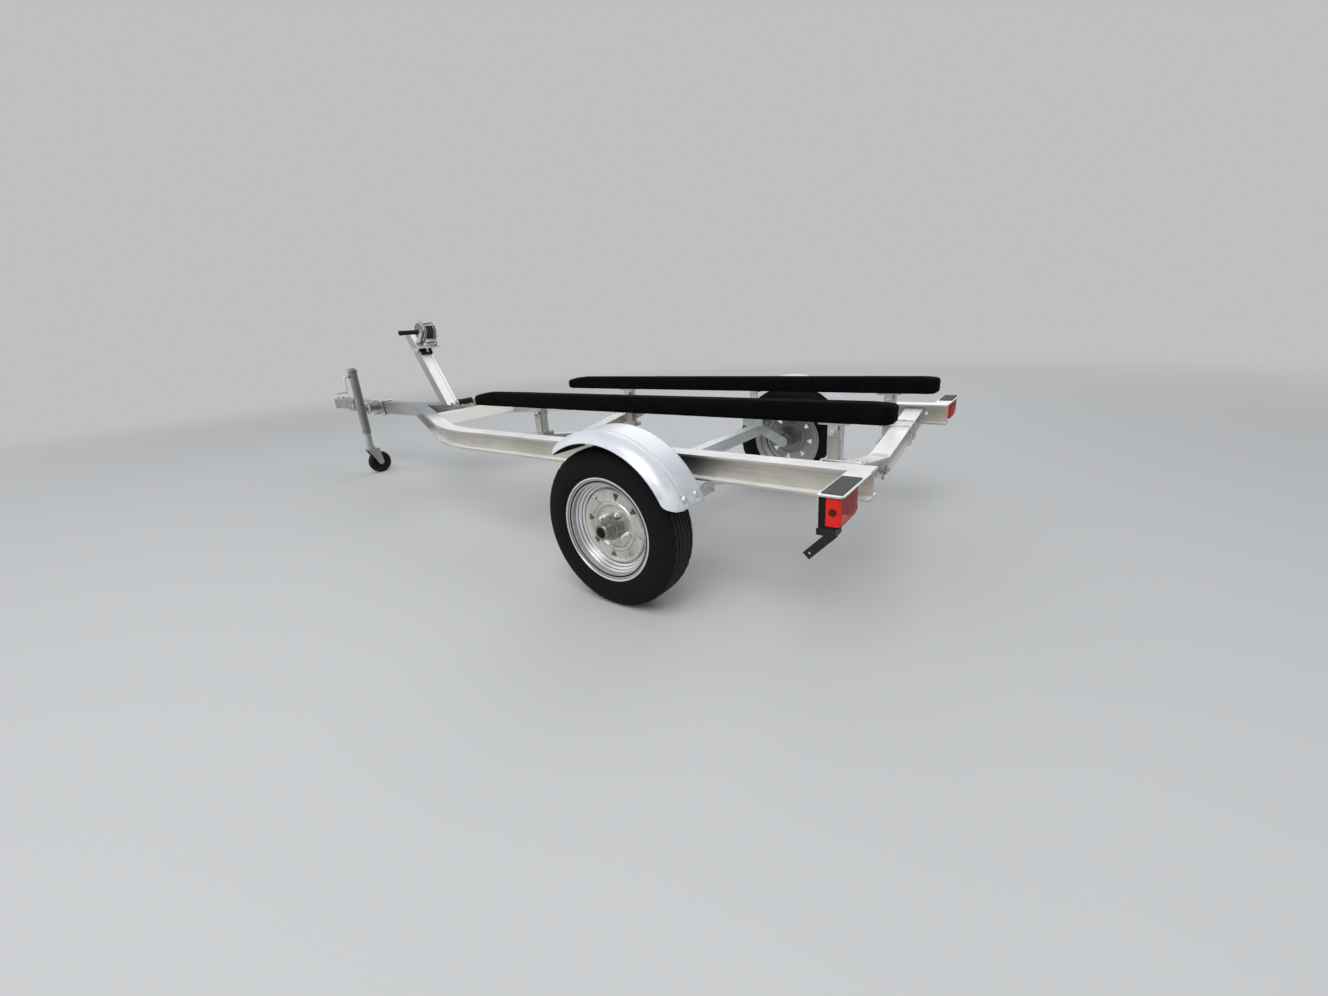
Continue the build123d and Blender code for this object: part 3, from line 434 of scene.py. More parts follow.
class Shape:
    def __init__(self):
        self.points = []
        self.faces = []
        self.tags = []

    def rings(self, rings, around=True, loop=False, caps=False, tag=0):
        # skin over a row of rings that all have the same number of points
        n = len(rings[0])
        faces = []
        last = len(rings) if loop else len(rings) - 1
        for i in range(last):
            j = (i + 1) % len(rings)
            for k in range(n if around else n - 1):
                m = (k + 1) % n
                faces.append((i * n + k, i * n + m, j * n + m, j * n + k))
        if caps:
            faces.append(tuple(range(n))[::-1])
            faces.append(tuple((len(rings) - 1) * n + k for k in range(n)))
        base = len(self.points)
        self.points += [Vector(p) for ring in rings for p in ring]
        self.faces += [tuple(base + i for i in f) for f in faces]
        self.tags += [tag] * len(faces)
        return self

    def lathe(self, profile, origin, direction=Y, segs=64, closed=False, tag=0, shift=None):
        # profile is (radius, distance along the direction); shift(k, radius, distance) moves a radius
        origin, w = Vector(origin), Vector(direction).normalized()
        u = w.orthogonal().normalized()
        v = w.cross(u)
        rings = []
        for r, h in profile:
            ring = []
            for k in range(segs):
                a = 2 * math.pi * k / segs
                q = r + shift(k, r, h) if shift else r
                ring.append(origin + u * q * math.cos(a) + v * q * math.sin(a) + w * h)
            rings.append(ring)
        return self.rings(rings, loop=closed, caps=not closed, tag=tag)

    def tube(self, path, radius, segs=12, tag=0, closed=False):
        path = [Vector(p) for p in path]
        turns = [2 * math.pi * k / segs for k in range(segs)]
        rings = []
        normal = None
        n = len(path)
        for i, p in enumerate(path):
            a = path[(i - 1) % n] if closed or i > 0 else p
            b = path[(i + 1) % n] if closed or i < n - 1 else p
            t = (b - a).normalized()
            normal = (t.orthogonal() if normal is None else normal - t * normal.dot(t)).normalized()
            other = t.cross(normal)
            rings.append([p + radius * (normal * math.cos(a) + other * math.sin(a)) for a in turns])
        return self.rings(rings, loop=closed, caps=not closed, tag=tag)

    def prism(self, outline, origin, u, v, depth, tag=0):
        # flat outline in the plane of u and v, with its thickness along their cross product
        origin, u, v = Vector(origin), Vector(u).normalized(), Vector(v).normalized()
        w = u.cross(v)
        low = [origin + u * a + v * b for a, b in outline]
        return self.rings([low, [p + w * depth for p in low]], caps=True, tag=tag)

    def box(self, x0, x1, y0, y1, z0, z1, tag=0):
        return self.prism([(x0, y0), (x1, y0), (x1, y1), (x0, y1)], (0, 0, z0), X, Y, z1 - z0, tag)

    def bolt(self, origin, direction, flats, tag=0):
        # hexagon head on a round washer
        origin, w = Vector(origin), Vector(direction).normalized()
        washer = [(flats * 0.42, 0), (flats * 0.78, 0), (flats * 0.8, 0.8), (flats * 0.74, 2)]
        self.lathe(washer, origin, w, 20, tag=tag)
        origin = origin + w * 1.8
        high = flats * 0.6
        r = flats / math.sqrt(3)
        u = w.orthogonal().normalized()
        v = w.cross(u)
        rings = []
        turns = [0.3 + k * math.pi / 3 for k in range(6)]
        for scale, h in ((1.0, 0), (1.0, high * 0.86), (0.86, high), (0.3, high * 1.01)):
            rings.append([origin + w * h + r * scale * (u * math.cos(a) + v * math.sin(a)) for a in turns])
        return self.rings(rings, caps=True, tag=tag)

    def nut(self, origin, direction, flats, stud, past, tag=0):
        # hexagon nut with the end of its stud
        self.bolt(origin, direction, flats, tag)
        w = Vector(direction).normalized()
        start = Vector(origin) + w * flats * 0.6
        profile = [(stud, 0), (stud, past * 0.85), (stud * 0.75, past)]
        return self.lathe(profile, start, w, 14, tag=tag)

    def dome(self, origin, direction, r, high):
        steps = [(r * math.cos(a), high * math.sin(a)) for a in (0.0, 0.35, 0.7, 1.05, 1.35)]
        return self.lathe([(r, -1.0)] + steps, origin, direction, 24)

    def mirrored(self):
        other = Shape()
        other.points = [Vector((p.x, -p.y, p.z)) for p in self.points]
        other.faces = [f[::-1] for f in self.faces]
        other.tags = list(self.tags)
        return other

    def make(self, name, keys, body="chassis", bevel=0.0, sharp=38, stands_for=()):
        mesh = bpy.data.meshes.new(name)
        mesh.from_pydata([((p.x / 1000 + OX), p.y / 1000, p.z / 1000) for p in self.points], [], self.faces)
        for key in keys:
            mesh.materials.append(M[key])
        mesh.polygons.foreach_set("material_index", self.tags)
        o = new_object(name, mesh)
        settle(o, sharp)
        if bevel:
            soften(o, bevel / 1000, 3)
        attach(o, body)
        if stands_for:
            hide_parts(*stands_for)
        return o


def baked(o):
    # the modifiers' result becomes the mesh
    shown = bpy.context.evaluated_depsgraph_get()
    mesh = bpy.data.meshes.new_from_object(o.evaluated_get(shown))
    o.modifiers.clear()
    o.data = mesh


def settle(o, sharp):
    # outward normals, smooth faces, and hard edges where the surface turns
    bm = bmesh.new()
    bm.from_mesh(o.data)
    bmesh.ops.recalc_face_normals(bm, faces=bm.faces)
    for f in bm.faces:
        f.smooth = True
    for e in bm.edges:
        if len(e.link_faces) == 2 and e.calc_face_angle(0) > math.radians(sharp):
            e.smooth = False
    bm.to_mesh(o.data)
    bm.free()


def arc(x, y, r, start, count=5):
    # points on a circle, 22.5 degrees apart
    angles = [math.radians(start + 22.5 * k) for k in range(count)]
    return [(x + r * math.cos(a), y + r * math.sin(a)) for a in angles]


def spoke(deg):
    # outward, and along the turn, at an angle in a wheel's plane
    a = math.radians(deg)
    return Vector((math.cos(a), 0, math.sin(a))), Vector((-math.sin(a), 0, math.cos(a)))


def rounded(points, radius, steps=5):
    # open path with its corners turned into arcs
    points = [Vector(p) for p in points]
    out = [points[0]]
    for a, b, c in zip(points, points[1:], points[2:]):
        d0, d1 = (a - b).normalized(), (c - b).normalized()
        half = d0.angle(d1) / 2
        cut = min(radius / math.tan(half), (a - b).length * 0.49, (c - b).length * 0.49)
        p0, p1 = b + d0 * cut, b + d1 * cut
        for k in range(steps + 1):
            t = k / steps
            out.append(p0 * (1 - t) ** 2 + b * 2 * t * (1 - t) + p1 * t * t)
    return out + [points[-1]]


def both_sides(shape, name, keys, body="chassis", bevel=0.0, sharp=38, stands_for=()):
    # one piece on each side; body and node names get their side
    for side, s in (("left", shape), ("right", shape.mirrored())):
        b = body + "_" + side if body != "chassis" else body
        s.make(name + "_" + side, keys, b, bevel, sharp, [n + "_" + side for n in stands_for])


# wheels

HUB = (0, WHEEL_Y, TYRE_R)
TURNED = 128


def tyre_profile():
    wall = [(155.5, 47), (158, 51.5), (170, 53), (175.5, 57.2), (179, 59.5), (182, 59.2), (184, 61.2),
            (193, 63.2), (196, 62.6), (198, 63.8), (212, 64.9), (226, 64.6), (229, 63.8), (231, 64.3),
            (240, 62.6), (243, 60.6), (246, 60.6), (252, 57.4), (257.5, 53.2), (261.5, 49), (264.2, 45.4)]
    tread = [(265.0, 41)]
    for g in (29, 14.5):
        r = TYRE_R - (g / 44) ** 2 * 1.4
        tread += [(r, g + 3.2), (r - 6, g + 2.2), (r - 6, g - 2.2), (r, g - 3.2)]
    tread += [(TYRE_R, 8), (TYRE_R, 2.6), (TYRE_R - 6, 1.8)]
    half = wall + tread
    return half + [(r, -h) for r, h in reversed(half)]


def tyre():
    def shift(k, r, h):
        # small cuts in the shoulder and in the two outer ribs
        if r > 255 and 40 < abs(h) < 50 and k % 5 == 0:
            return -2.6
        if r > 262 and 31 < abs(h) < 33 and k % 5 == 2:
            return -1.6
        return 0.0

    return Shape().lathe(tyre_profile(), HUB, segs=220, closed=True, shift=shift)


def two_sided(front, back):
    # a turned plate whose back takes the second material, the darker one of painted shade
    s = Shape().lathe(front + back, HUB, segs=TURNED, closed=True)
    first = len(front) * TURNED
    s.tags[first:] = [1] * (len(s.tags) - first)
    return s


def rim_barrel():
    outside = [
        (173.2, 55.0), (174.6, 56.2), (174.4, 58.2), (172.4, 59.2), (169.8, 58.6), (168.2, 56.4),
        (167.0, 50.4), (166.2, 47.4), (164.4, 45.4), (158.8, 43.6), (157.2, 42.4), (156.6, 40.6),
        (155.8, 36.6), (153.4, 35.2), (148.6, 34.4), (147.2, 33.0), (146.4, 27.4), (144.8, 25.6),
        (140.6, 25.0), (139.2, 23.6), (138.2, 17.4), (136.4, 15.6), (132.8, 15.0), (131.4, 13.4),
        (130.6, 8.0), (129.6, 3.0), (128.6, -2.0),
    ]
    inside = [
        (126.0, -8.0), (127.0, -30.0), (140.0, -36.0), (148.6, -40.0), (149.4, -50.0), (166.0, -54.0),
        (168.0, -57.4), (173.0, -57.4), (173.0, -54.0), (152.4, -49.6), (151.2, -34.0), (131.0, -24.0),
        (131.0, 10.0), (151.2, 25.0), (152.4, 49.4), (170.0, 54.0),
    ]
    return two_sided(outside, inside)


def rim_disc():
    front = [
        (41.5, 6.6), (60, 6.8), (66, 7.4), (70, 10.2), (73, 15.4), (76, 18.2), (80, 18.8), (84, 17.4),
        (87, 13.6), (90, 12.4), (110, 12.0), (114, 12.6), (118, 15.6), (123, 16.4), (126.0, 13.6),
        (126.8, 10.6),
    ]
    back = [
        (126.8, 2.0), (124, 2.0), (112, 7.6), (90, 8.0), (84, 10), (80, 13.8), (76, 13.4), (70, 5),
        (64, 2.6), (41.5, 2.5),
    ]
    return two_sided(front, back)


def vents():
    # eight rounded triangles with the broad side outward
    cut = Shape()
    for k in range(8):
        out, across = spoke(8.5 + 45 * k)
        corners = [Vector(c) for c in ((84, 0, 0), (113, 15, 0), (113, -15, 0))]
        ring = []
        for c in range(3):
            p, q, r = corners[c - 1], corners[c], corners[(c + 1) % 3]
            arc = rounded([p, q, r], 4.2, 4)[1:-1]
            ring += [(v.x, v.y) for v in arc]
        origin = Vector((0, WHEEL_Y - 20, TYRE_R))
        cut.prism(ring, origin, out, across, 60 if out.cross(across).y > 0 else -60)
    return cut


def cut_out(target, cutter):
    m = target.modifiers.new("holes", "BOOLEAN")
    m.operation = "DIFFERENCE"
    m.solver = "EXACT"
    m.object = cutter
    baked(target)
    bpy.data.objects.remove(cutter)
    settle(target, 32)


def wheels():
    both_sides(tyre(), "tyre_tread", ["tyre"], "wheel", 0, 42, ["tyre"])
    both_sides(rim_barrel(), "rim_rings", ["galv_wheel", "wheel_inside_shade"], "wheel", 0, 50, ["rim"])
    for side in ("left", "right"):
        disc, hole = rim_disc(), vents()
        if side == "right":
            disc, hole = disc.mirrored(), hole.mirrored()
        plate = disc.make("rim_face_" + side, ["disc", "wheel_inside_shade"], "wheel_" + side)
        knife = hole.make("vent_cutter_" + side, ["disc"], "wheel_" + side)
        cut_out(plate, knife)
    nose = Shape()
    nose.lathe([(36, -86), (36, -8), (64, -8), (64.5, 2), (42, 2.6), (41, 8), (40, 9), (39.4, 22),
                (38.6, 38), (37, 41), (33, 42.6), (29, 43)], HUB, segs=64)
    nose.lathe([(42, 8.8), (58, 9.2), (64.6, 8.6), (66.2, 6.9), (62, 6.6), (42, 6.6)], HUB, segs=64, tag=2)
    nose.lathe([(29.5, 40), (29.5, 46), (28.4, 48), (25.6, 49), (25, 52), (25, 71), (26.4, 72.4),
                (26.4, 76.6), (25, 78.4), (22, 79.2), (18.4, 78.6), (17.4, 76)], HUB, segs=48)
    plug = [(17.6, 70), (17.6, 77.4), (16.4, 79.4), (12, 79.8), (11, 78.2), (5, 77.8), (3, 79.4), (1, 79.6)]
    nose.lathe(plug, HUB, segs=36, tag=1)
    both_sides(nose, "hub_nose", ["hub", "rubber", "disc"], "wheel", 0, 36, ["hub"])
    nuts = Shape()
    circle = 50.8
    for k in range(4):
        a = math.radians(28 + 90 * k)
        p = Vector((circle * math.cos(a), WHEEL_Y + 5.0, TYRE_R + circle * math.sin(a)))
        nuts.lathe([(6.2, 0), (11.4, 4.6), (11.4, 6.2), (9.6, 6.8)], p, Y, 24)
        nuts.lathe([(10.9, 6.2), (10.9, 16.4), (9.8, 18.4), (6.6, 19.4), (6.4, 18.6)], p, Y, 6)
        nuts.lathe([(5.9, 16), (5.9, 26), (4.6, 27.4)], p, Y, 16)
    both_sides(nuts, "lug_nuts", ["bright"], "wheel", 0.5, 30)


wheels()

# fenders

FENDER_IN, FENDER_OUT = 636.0, 795.0
FENDER_R = 322.0
FRONT_DEG, REAR_DEG = 56.0, 160.0
FRONT_CORNER, REAR_CORNER = 9.0, 45.0
PROFILE = [
    (636.0, 317.5), (636.4, 320.2), (638.5, 321.8), (645, 322), (690, 322), (724, 322), (729, 321.6),
    (732, 320.2), (734, 318.8), (736, 319.2), (738, 321.4), (741, 323.0), (748, 322.4), (758, 320.2),
    (768, 316.4), (777, 310.6), (784, 304.8), (788, 299.6), (791.5, 295.0), (794, 292.2), (794.9, 290.6),
    (794.6, 289.2),
]


def fender():
    rows = 104
    span = math.radians(REAR_DEG - FRONT_DEG) * FENDER_R
    rings = []
    for i in range(rows + 1):
        t = i / rows
        # the outer edge draws in at each rounded end
        limit = FENDER_OUT
        for gap, r in ((span * (1 - t), REAR_CORNER), (span * t, FRONT_CORNER)):
            if gap < r:
                limit = FENDER_OUT - r + math.sqrt(r ** 2 - (r - gap) ** 2)
        a = math.radians(FRONT_DEG + (REAR_DEG - FRONT_DEG) * t)
        ring = []
        for y, r in PROFILE:
            yy = FENDER_IN + (y - FENDER_IN) * (limit - FENDER_IN) / (FENDER_OUT - FENDER_IN)
            rr = profile_radius(yy) + (r - profile_radius(y))
            ring.append(Vector((rr * math.cos(a), yy, TYRE_R + rr * math.sin(a))))
        rings.append(ring)
    return Shape().rings(rings, around=False)


def profile_radius(y):
    for (y0, r0), (y1, r1) in zip(PROFILE[2:-2], PROFILE[3:-1]):
        if y <= y1:
            return r0 + (r1 - r0) * max(0.0, y - y0) / (y1 - y0)
    return PROFILE[-2][1]


def on_fender(deg, y):
    # a place on the fender's skin, and outward from it
    a = math.radians(deg)
    r = profile_radius(y)
    return Vector((r * math.cos(a), y, TYRE_R + r * math.sin(a))), spoke(deg)[0]


def fender_lip():
    # the front end is turned down towards the tyre; its near-black inner face is painted shade
    ring = [
        (FENDER_IN + 0.6, 320.6), (733, 320.4), (758, 318.4), (770, 312.8), (780, 304.8), (785.4, 296),
        (785.8, 290.6), (781, 289.4), (FENDER_IN + 8, 289.4), (FENDER_IN + 0.6, 296),
    ]
    return Shape().prism([(r, y) for y, r in ring], (0, 0, TYRE_R), spoke(FRONT_DEG)[0], Y, -2.0)


def fenders():
    both_sides(fender_lip(), "fender_lip", ["under"])
    for side in ("left", "right"):
        shape = fender() if side == "left" else fender().mirrored()
        o = shape.make("fender_skin_" + side, ["fender", "under"], sharp=60, stands_for=["fender_" + side])
        m = o.modifiers.new("thick", "SOLIDIFY")
        m.thickness = 0.0022
        # the inner layer takes the near-black painted shade
        m.material_offset = 1
        m.offset = -1 if inward(o) else 1
    bolts = Shape()
    for deg in (154.8, 62.6):
        for y in (668.0, 727.0):
            p, out = on_fender(deg, y)
            bolts.dome(p, out, 10.0, 6.4)
            bolts.lathe([(12.4, -0.6), (12.4, 0.8), (11.4, 1.2)], p, out, 24)
            bolts.nut(p - out * 8.4, -out, 13.0, 4.0, 7.0)
    both_sides(bolts, "fender_bolts", ["bright"])


def inward(o):
    # true where the face normals point away from the wheel, so the thickness goes in
    f = max(o.data.polygons, key=lambda q: q.center.z)
    return f.normal.z > 0


fenders()

# bunks: a board wrapped in carpet; a short cloth run swells it, most points up to a limit

BUNK_X = (-748.0, 1181.0)
BUNK_Y = (269.0, 361.0)
BUNK_Z = (563.0, 622.0)
SWELL_LIMIT = 0.006
SWELL_FRAMES = 20


def bunk_core():
    # a little smaller than the board and its carpet, with soft corners and the front end eased down
    (x0, x1), (y0, y1), (z0, z1) = BUNK_X, BUNK_Y, BUNK_Z
    r = 15.0
    edge = 2.0 + r
    ring = []
    for cy, cz, a0 in ((y1 - edge, z1 - edge, 0), (y0 + edge, z1 - edge, 90), (y0 + edge, z0 + edge, 180),
                       (y1 - edge, z0 + edge, 270)):
        ring += arc(cy, cz, r, a0)
    mid_y, mid_z = (y0 + y1) / 2, (z0 + z1) / 2

    def drawn_in(d, radius, half):
        # how far a rounded end has pulled in at a distance from it
        return 1 - (radius - math.sqrt(radius ** 2 - (radius - d) ** 2)) / half if d < radius else 1.0

    depths = [1.5, 3, 6, 10, 16, 23, 31]
    stations = [(x0 + d, d) for d in depths]
    stations += [(x0 + 31 + (x1 - x0 - 62) * k / 24, 99) for k in range(1, 24)]
    stations += [(x1 - d, d) for d in reversed(depths)]
    rings = []
    for x, d in stations:
        drop = 12.0 * max(0.0, (x - (x1 - 110)) / 110)
        sy, sz = drawn_in(d, 31.0, 44.0), drawn_in(d, 12.0, 27.5)
        rings.append([
            Vector((x, mid_y + (y - mid_y) * sy, mid_z + (z - mid_z) * sz - (drop if z > mid_z else 0)))
            for y, z in ring
        ])
    return Shape().rings(rings, caps=True)


def swell(o):
    m = o.modifiers.new("voxels", "REMESH")
    m.mode = "VOXEL"
    m.voxel_size = 0.006
    baked(o)
    before = [v.co.copy() for v in o.data.vertices]
    m = o.modifiers.new("cloth", "CLOTH")
    fabric = dict(quality=4, mass=0.3, tension_stiffness=12, compression_stiffness=12, bending_stiffness=0.6,
                  use_pressure=True, uniform_pressure_force=4)
    for key, value in fabric.items():
        setattr(m.settings, key, value)
    m.settings.effector_weights.gravity = 0
    m.point_cache.frame_start = 1
    m.point_cache.frame_end = SWELL_FRAMES
    for f in range(1, SWELL_FRAMES + 1):
        bpy.context.scene.frame_set(f)
    baked(o)
    bpy.context.scene.frame_set(1)
    # carpet lies close on a board, so no point may go further than the limit
    for v, p in zip(o.data.vertices, before):
        move = v.co - p
        if move.length > SWELL_LIMIT:
            v.co = p + move.normalized() * SWELL_LIMIT


def wrap_marks(o):
    # lumpy lower edge, folded ends and a flat underside, at most 3 mm outside the board's space
    lo, hi = (at(x / 1000, y / 1000, z / 1000) for x, y, z in zip(BUNK_X, BUNK_Y, BUNK_Z))
    mid = (lo.y + hi.y) / 2
    for v in o.data.vertices:
        c = v.co
        low = max(0.0, 1 - (c.z - lo.z) / 0.016)
        side = min(1.0, abs(c.y - mid) / 0.040)
        lump = noise.fractal(Vector((c.x * 26, c.y * 9, 3.1)), 0.7, 2.1, 4)
        c.z += low * side * lump * 0.0030
        c.y += low * side * noise.noise(Vector((c.x * 40, 7.7, c.z * 20))) * 0.0022
        wave = noise.fractal(Vector((c.x * 5, c.y * 22, c.z * 22)), 0.8, 2.0, 3)
        c += v.normal * wave * 0.0011
        for end, way in ((lo.x, 1), (hi.x, -1)):
            depth = (c.x - end) * way
            if depth < 0.012:
                fold = abs(abs(c.y - mid) - (c.z - lo.z) * 0.75)
                c.x += way * 0.0026 * max(0.0, 1 - fold / 0.006)
        c.x = min(max(c.x, lo.x - 0.002), hi.x + 0.002)
        c.y = min(max(c.y, lo.y - 0.003), hi.y + 0.003)
        c.z = min(max(c.z, lo.z + 0.0002), hi.z + 0.003)
    o.data.update()


def bunks():
    left = bunk_core().make("bunk_carpet_left", ["carpet"], stands_for=["bunk_left"])
    swell(left)
    wrap_marks(left)
    mirror = left.data.copy()
    for v in mirror.vertices:
        v.co.y = -v.co.y
    mirror.flip_normals()
    right = new_object("bunk_carpet_right", mirror)
    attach(right, "chassis")
    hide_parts("bunk_right")
    for o in (left, right):
        settle(o, 80)
        m = o.modifiers.new("soft", "SUBSURF")
        m.levels = m.render_levels = 1


bunks()

# fastenings on the frame

# for each upright: the face by the clamp's nuts, its other face, the cross-member's far face, the way there
POSTS = ((733.7, 767.7, 838.0, 1), (-557.7, -591.7, -662.0, -1))
POST_Y, RAIL_Y = 315.0, 534.0
BEAM_TOP, BEAM_LOW = 495.0, 403.0


def post_bolts():
    s = Shape()
    for near, back, _, way in POSTS:
        xm = (near + back) / 2
        for y, d in ((288.0, -1), (342.0, 1)):
            s.bolt((xm, y, 534), Y * d, 15)
        for z in (466, 502):
            s.bolt((back - way * 5.0, POST_Y, z), X * -way, 15)
        for d in (1, -1):
            s.lathe([(4.2, 0), (5.4, 1.8), (2, 2.6)], (xm + d * 32, POST_Y - d * 14, 557.8), -Z, 14)
    both_sides(s, "post_bolts", ["zinc_white"])


def cross_top(y):
    return 473.4 - (531 - abs(y)) * 0.162


def cross_clamps():
    # U-bolts that hold each upright to its cross-member
    s = Shape()
    for near, _, far, way in POSTS:
        for y in (POST_Y - 29, POST_Y + 29):
            top = cross_top(y) + 7
            start, end, low = near - way * 14, far + way * 7, top - 66 - 8
            s.tube(rounded([(start, y, low), (end, y, low), (end, y, top), (start, y, top)], 13), 4.2, 12)
        bar_x = near - way * 3
        for z in (cross_top(POST_Y) + 6, cross_top(POST_Y) - 68):
            x0, x1 = sorted((bar_x, bar_x - way * 4))
            s.box(x0, x1, POST_Y - 42, POST_Y + 42, z - 10, z + 10)
            for y in (POST_Y - 29, POST_Y + 29):
                s.nut((bar_x - way * 4, y, z), X * -way, 13, 4.2, 5)
    both_sides(s, "upright_clamps", ["zinc_white"], bevel=0.4)


def rear_hangers():
    # two fastenings that hang behind the rear cross-member
    s = Shape()
    for y, low in ((225.0, 318.0), (66.0, 330.0)):
        z = cross_top(y) - 60
        s.box(-668, -664, y - 9, y + 9, low + 12, z + 34)
        s.bolt((-668, y, z + 22), -X, 13)
        s.lathe([(4, 0), (4, 22), (3, 24)], (-659, y, low + 16), -Z, 12)
        s.nut((-659, y, low + 22), -Z, 13, 4, 8)
        s.box(-668, -652, y - 9, y + 9, low + 16, low + 20)
    return s.make("rear_hangers", ["zinc"], bevel=0.5)


def frame_bolts():
    s = Shape()
    # winch post foot, throat plate, corner plates, axle hangers
    for x in (1897.0, 2008.0):
        for y in (-23.0, 23.0):
            s.bolt((x, y, BEAM_TOP), Z, 15)
    for x in (2030.0, 2110.0, 2190.0):
        s.bolt((x, 0, BEAM_LOW), -Z, 15)
    for y in (-1, 1):
        for x in (2030.0, 2110.0):
            centre = 457.4 - (x - 1311.8) * 0.4557
            s.bolt((x, y * centre, BEAM_LOW), -Z, 15)
        for z in (434.0, 464.0):
            s.bolt((1775.0, y * 38.0, z), Y * y, 13)
            s.bolt((1746.0, y * 68.0, z), X, 13)
        for x in (-297.0, -275.0):
            s.bolt((x, y * RAIL_Y, 404.0), -Z, 13)
        for x in (53.0, 187.0):
            for d in (-20, 20):
                s.bolt((x, y * (RAIL_Y + d), BEAM_LOW), -Z, 13)
    return s.make("frame_bolts", ["zinc_white"], bevel=0.3)


post_bolts()
cross_clamps()
rear_hangers()
frame_bolts()

# lights


def tail_light():
    s = Shape()
    back, front = -746.0, -698.5
    y0, y1 = 645.0, 780.6
    z0, z1 = 410.0, 484.2

    def outline(xa, xb, ya, yb, r):
        # broad rounding at the back, narrow at the front
        ring = []
        for cx, cy, q, a0 in ((xb - 1.5, yb - 1.5, 1.5, 0), (xa + r, yb - r, r, 90),
                              (xa + r, ya + r, r, 180), (xb - 1.5, ya + 1.5, 1.5, 270)):
            ring += arc(cx, cy, q, a0)
        return ring

    s.prism(outline(-713, front, y0, y1, 3), (0, 0, z0), X, Y, z1 - z0)
    s.prism(outline(back, -713, y0 + 1, y1 - 0.6, 8), (0, 0, z0 + 5), X, Y, z1 - z0 - 7, tag=1)
    s.prism(outline(back + 1.5, -712, y0 + 1.5, y1 - 1.2, 8), (0, 0, z0), X, Y, 6)
    s.box(back - 0.5, back + 1, y0 + 5, y1 - 9, z0 + 7, z1 - 4, tag=2)
    # ribs on the rear lens, a pale prism area low at the outer corner and a round mark on the side
    for k in range(12):
        y = y0 + 16 + k * 9.4
        s.box(back - 0.9, back + 1, y, y + 1.5, z0 + 9, z1 - 6, tag=2)
    s.box(back - 1.0, back + 1, y0 + 10, y1 - 12, z0 + 40, z0 + 42, tag=2)
    s.prism([(700, z0 + 8), (771, z0 + 8), (771, z0 + 36)], (back + 1, 0, 0), Y, Z, -2.0, tag=3)
    s.lathe([(9.5, 0), (9.5, 0.8), (7.6, 1.6), (6.6, 0.9), (2, 0.9)], (-730, y1 - 0.8, 449), Y, 30, tag=4)
    for z in (z0 + 14, z1 - 10):
        s.lathe([(3.2, 0), (3.0, 1.2), (1.2, 1.6)], (back + 0.2, y0 + 8, z), -X, 14)
    return s


LAMP_KEYS = ["rubber", "red", "red_deep", "pale_red", "red_mark"]
both_sides(tail_light(), "tail_light", LAMP_KEYS, bevel=0.8, stands_for=["tail_lamp"])

# winch

DRUM = Vector((2065.0, 0, 934.0))
PINION = Vector((2087.0, 0, 864.2))
ROLLER_X, ROLLER_Z = 1792, 515


def winch_reel():
    s = Shape()

    def spiral(k, r, h):
        return -2.6 * (k / 96) + (0.5 * math.sin(k * 0.9) if r > 40 else 0)

    wound = [(20, -24), (47.4, -23.5), (47.9, -22.5), (47.9, 22.5), (47.4, 23.5), (20, 24)]
    s.lathe(wound, DRUM, segs=96, shift=spiral)
    for y in (-26.8, 25.0):
        s.lathe([(9, 0), (49.0, 0), (49.4, 0.9), (49.0, 1.8), (9, 1.8)], DRUM + Y * y, segs=64, tag=2)
    s.lathe([(8.9, -44), (8.9, 38)], DRUM, segs=32, tag=1)

    def teeth(k, r, h):
        return -3.4 if r > 58 and k % 4 < 2 else 0.0

    s.lathe([(8.9, 37), (59.8, 37), (59.8, 42.8), (56.5, 42.8)], DRUM, segs=208, tag=1, shift=teeth)
    # a bright ring on the gear's face near its teeth: a painted highlight
    s.lathe([(57, 40), (57, 43.6), (52, 43.9), (50.5, 42.6)], DRUM, segs=96, tag=2)
    s.lathe([(51, 40), (50.6, 41.4), (22, 41.4), (20, 43), (12, 43.2)], DRUM, segs=96, tag=1)
    s.nut(DRUM + Y * 42.6, Y, 20, 6, 3, tag=1)
    s.nut(DRUM + Y * -38, -Y, 16, 5, 3, tag=1)
    keys = ["strap", "winch_disc", "bright"]
    return s.make("winch_reel_wound", keys, "winch_reel", stands_for=["winch_drum"])


def winch_handle():
    s = Shape()
    out, up = spoke(133)
    reach = 90.0
    grip = PINION + out * reach
    ring = arc(reach, 0, 12, -90, 9) + arc(0.0, 0, 12, 90, 9)
    s.prism(ring, PINION + Y * 55, out, up, 5)
    s.lathe([(6.9, -43), (6.9, 56)], PINION, segs=24)

    def teeth(k, r, h):
        return -2.6 if r > 11 and k % 4 < 2 else 0.0

    s.lathe([(7, 36.8), (12, 37), (12, 43.6), (7, 44)], PINION, segs=40, shift=teeth)
    s.nut(PINION + Y * 55, Y, 17, 5, 3)
    s.lathe([(6.6, 50), (6.6, 78)], grip, segs=24)
    profile = [(7, 75), (12.6, 76), (14, 79), (13.6, 84)]
    for k in range(7):
        y = 90 + k * 13
        profile += [(12.2, y), (13.0, y + 3), (13.0, y + 7), (12.2, y + 10)]
    profile += [(13.8, 183), (14, 187), (12.4, 190), (7, 190.8)]
    s.lathe(profile, grip, segs=36, tag=1)
    keys = ["zinc_white", "rubber"]
    return s.make("winch_handle_bar", keys, "winch_handle", bevel=0.6, stands_for=["winch_crank"])


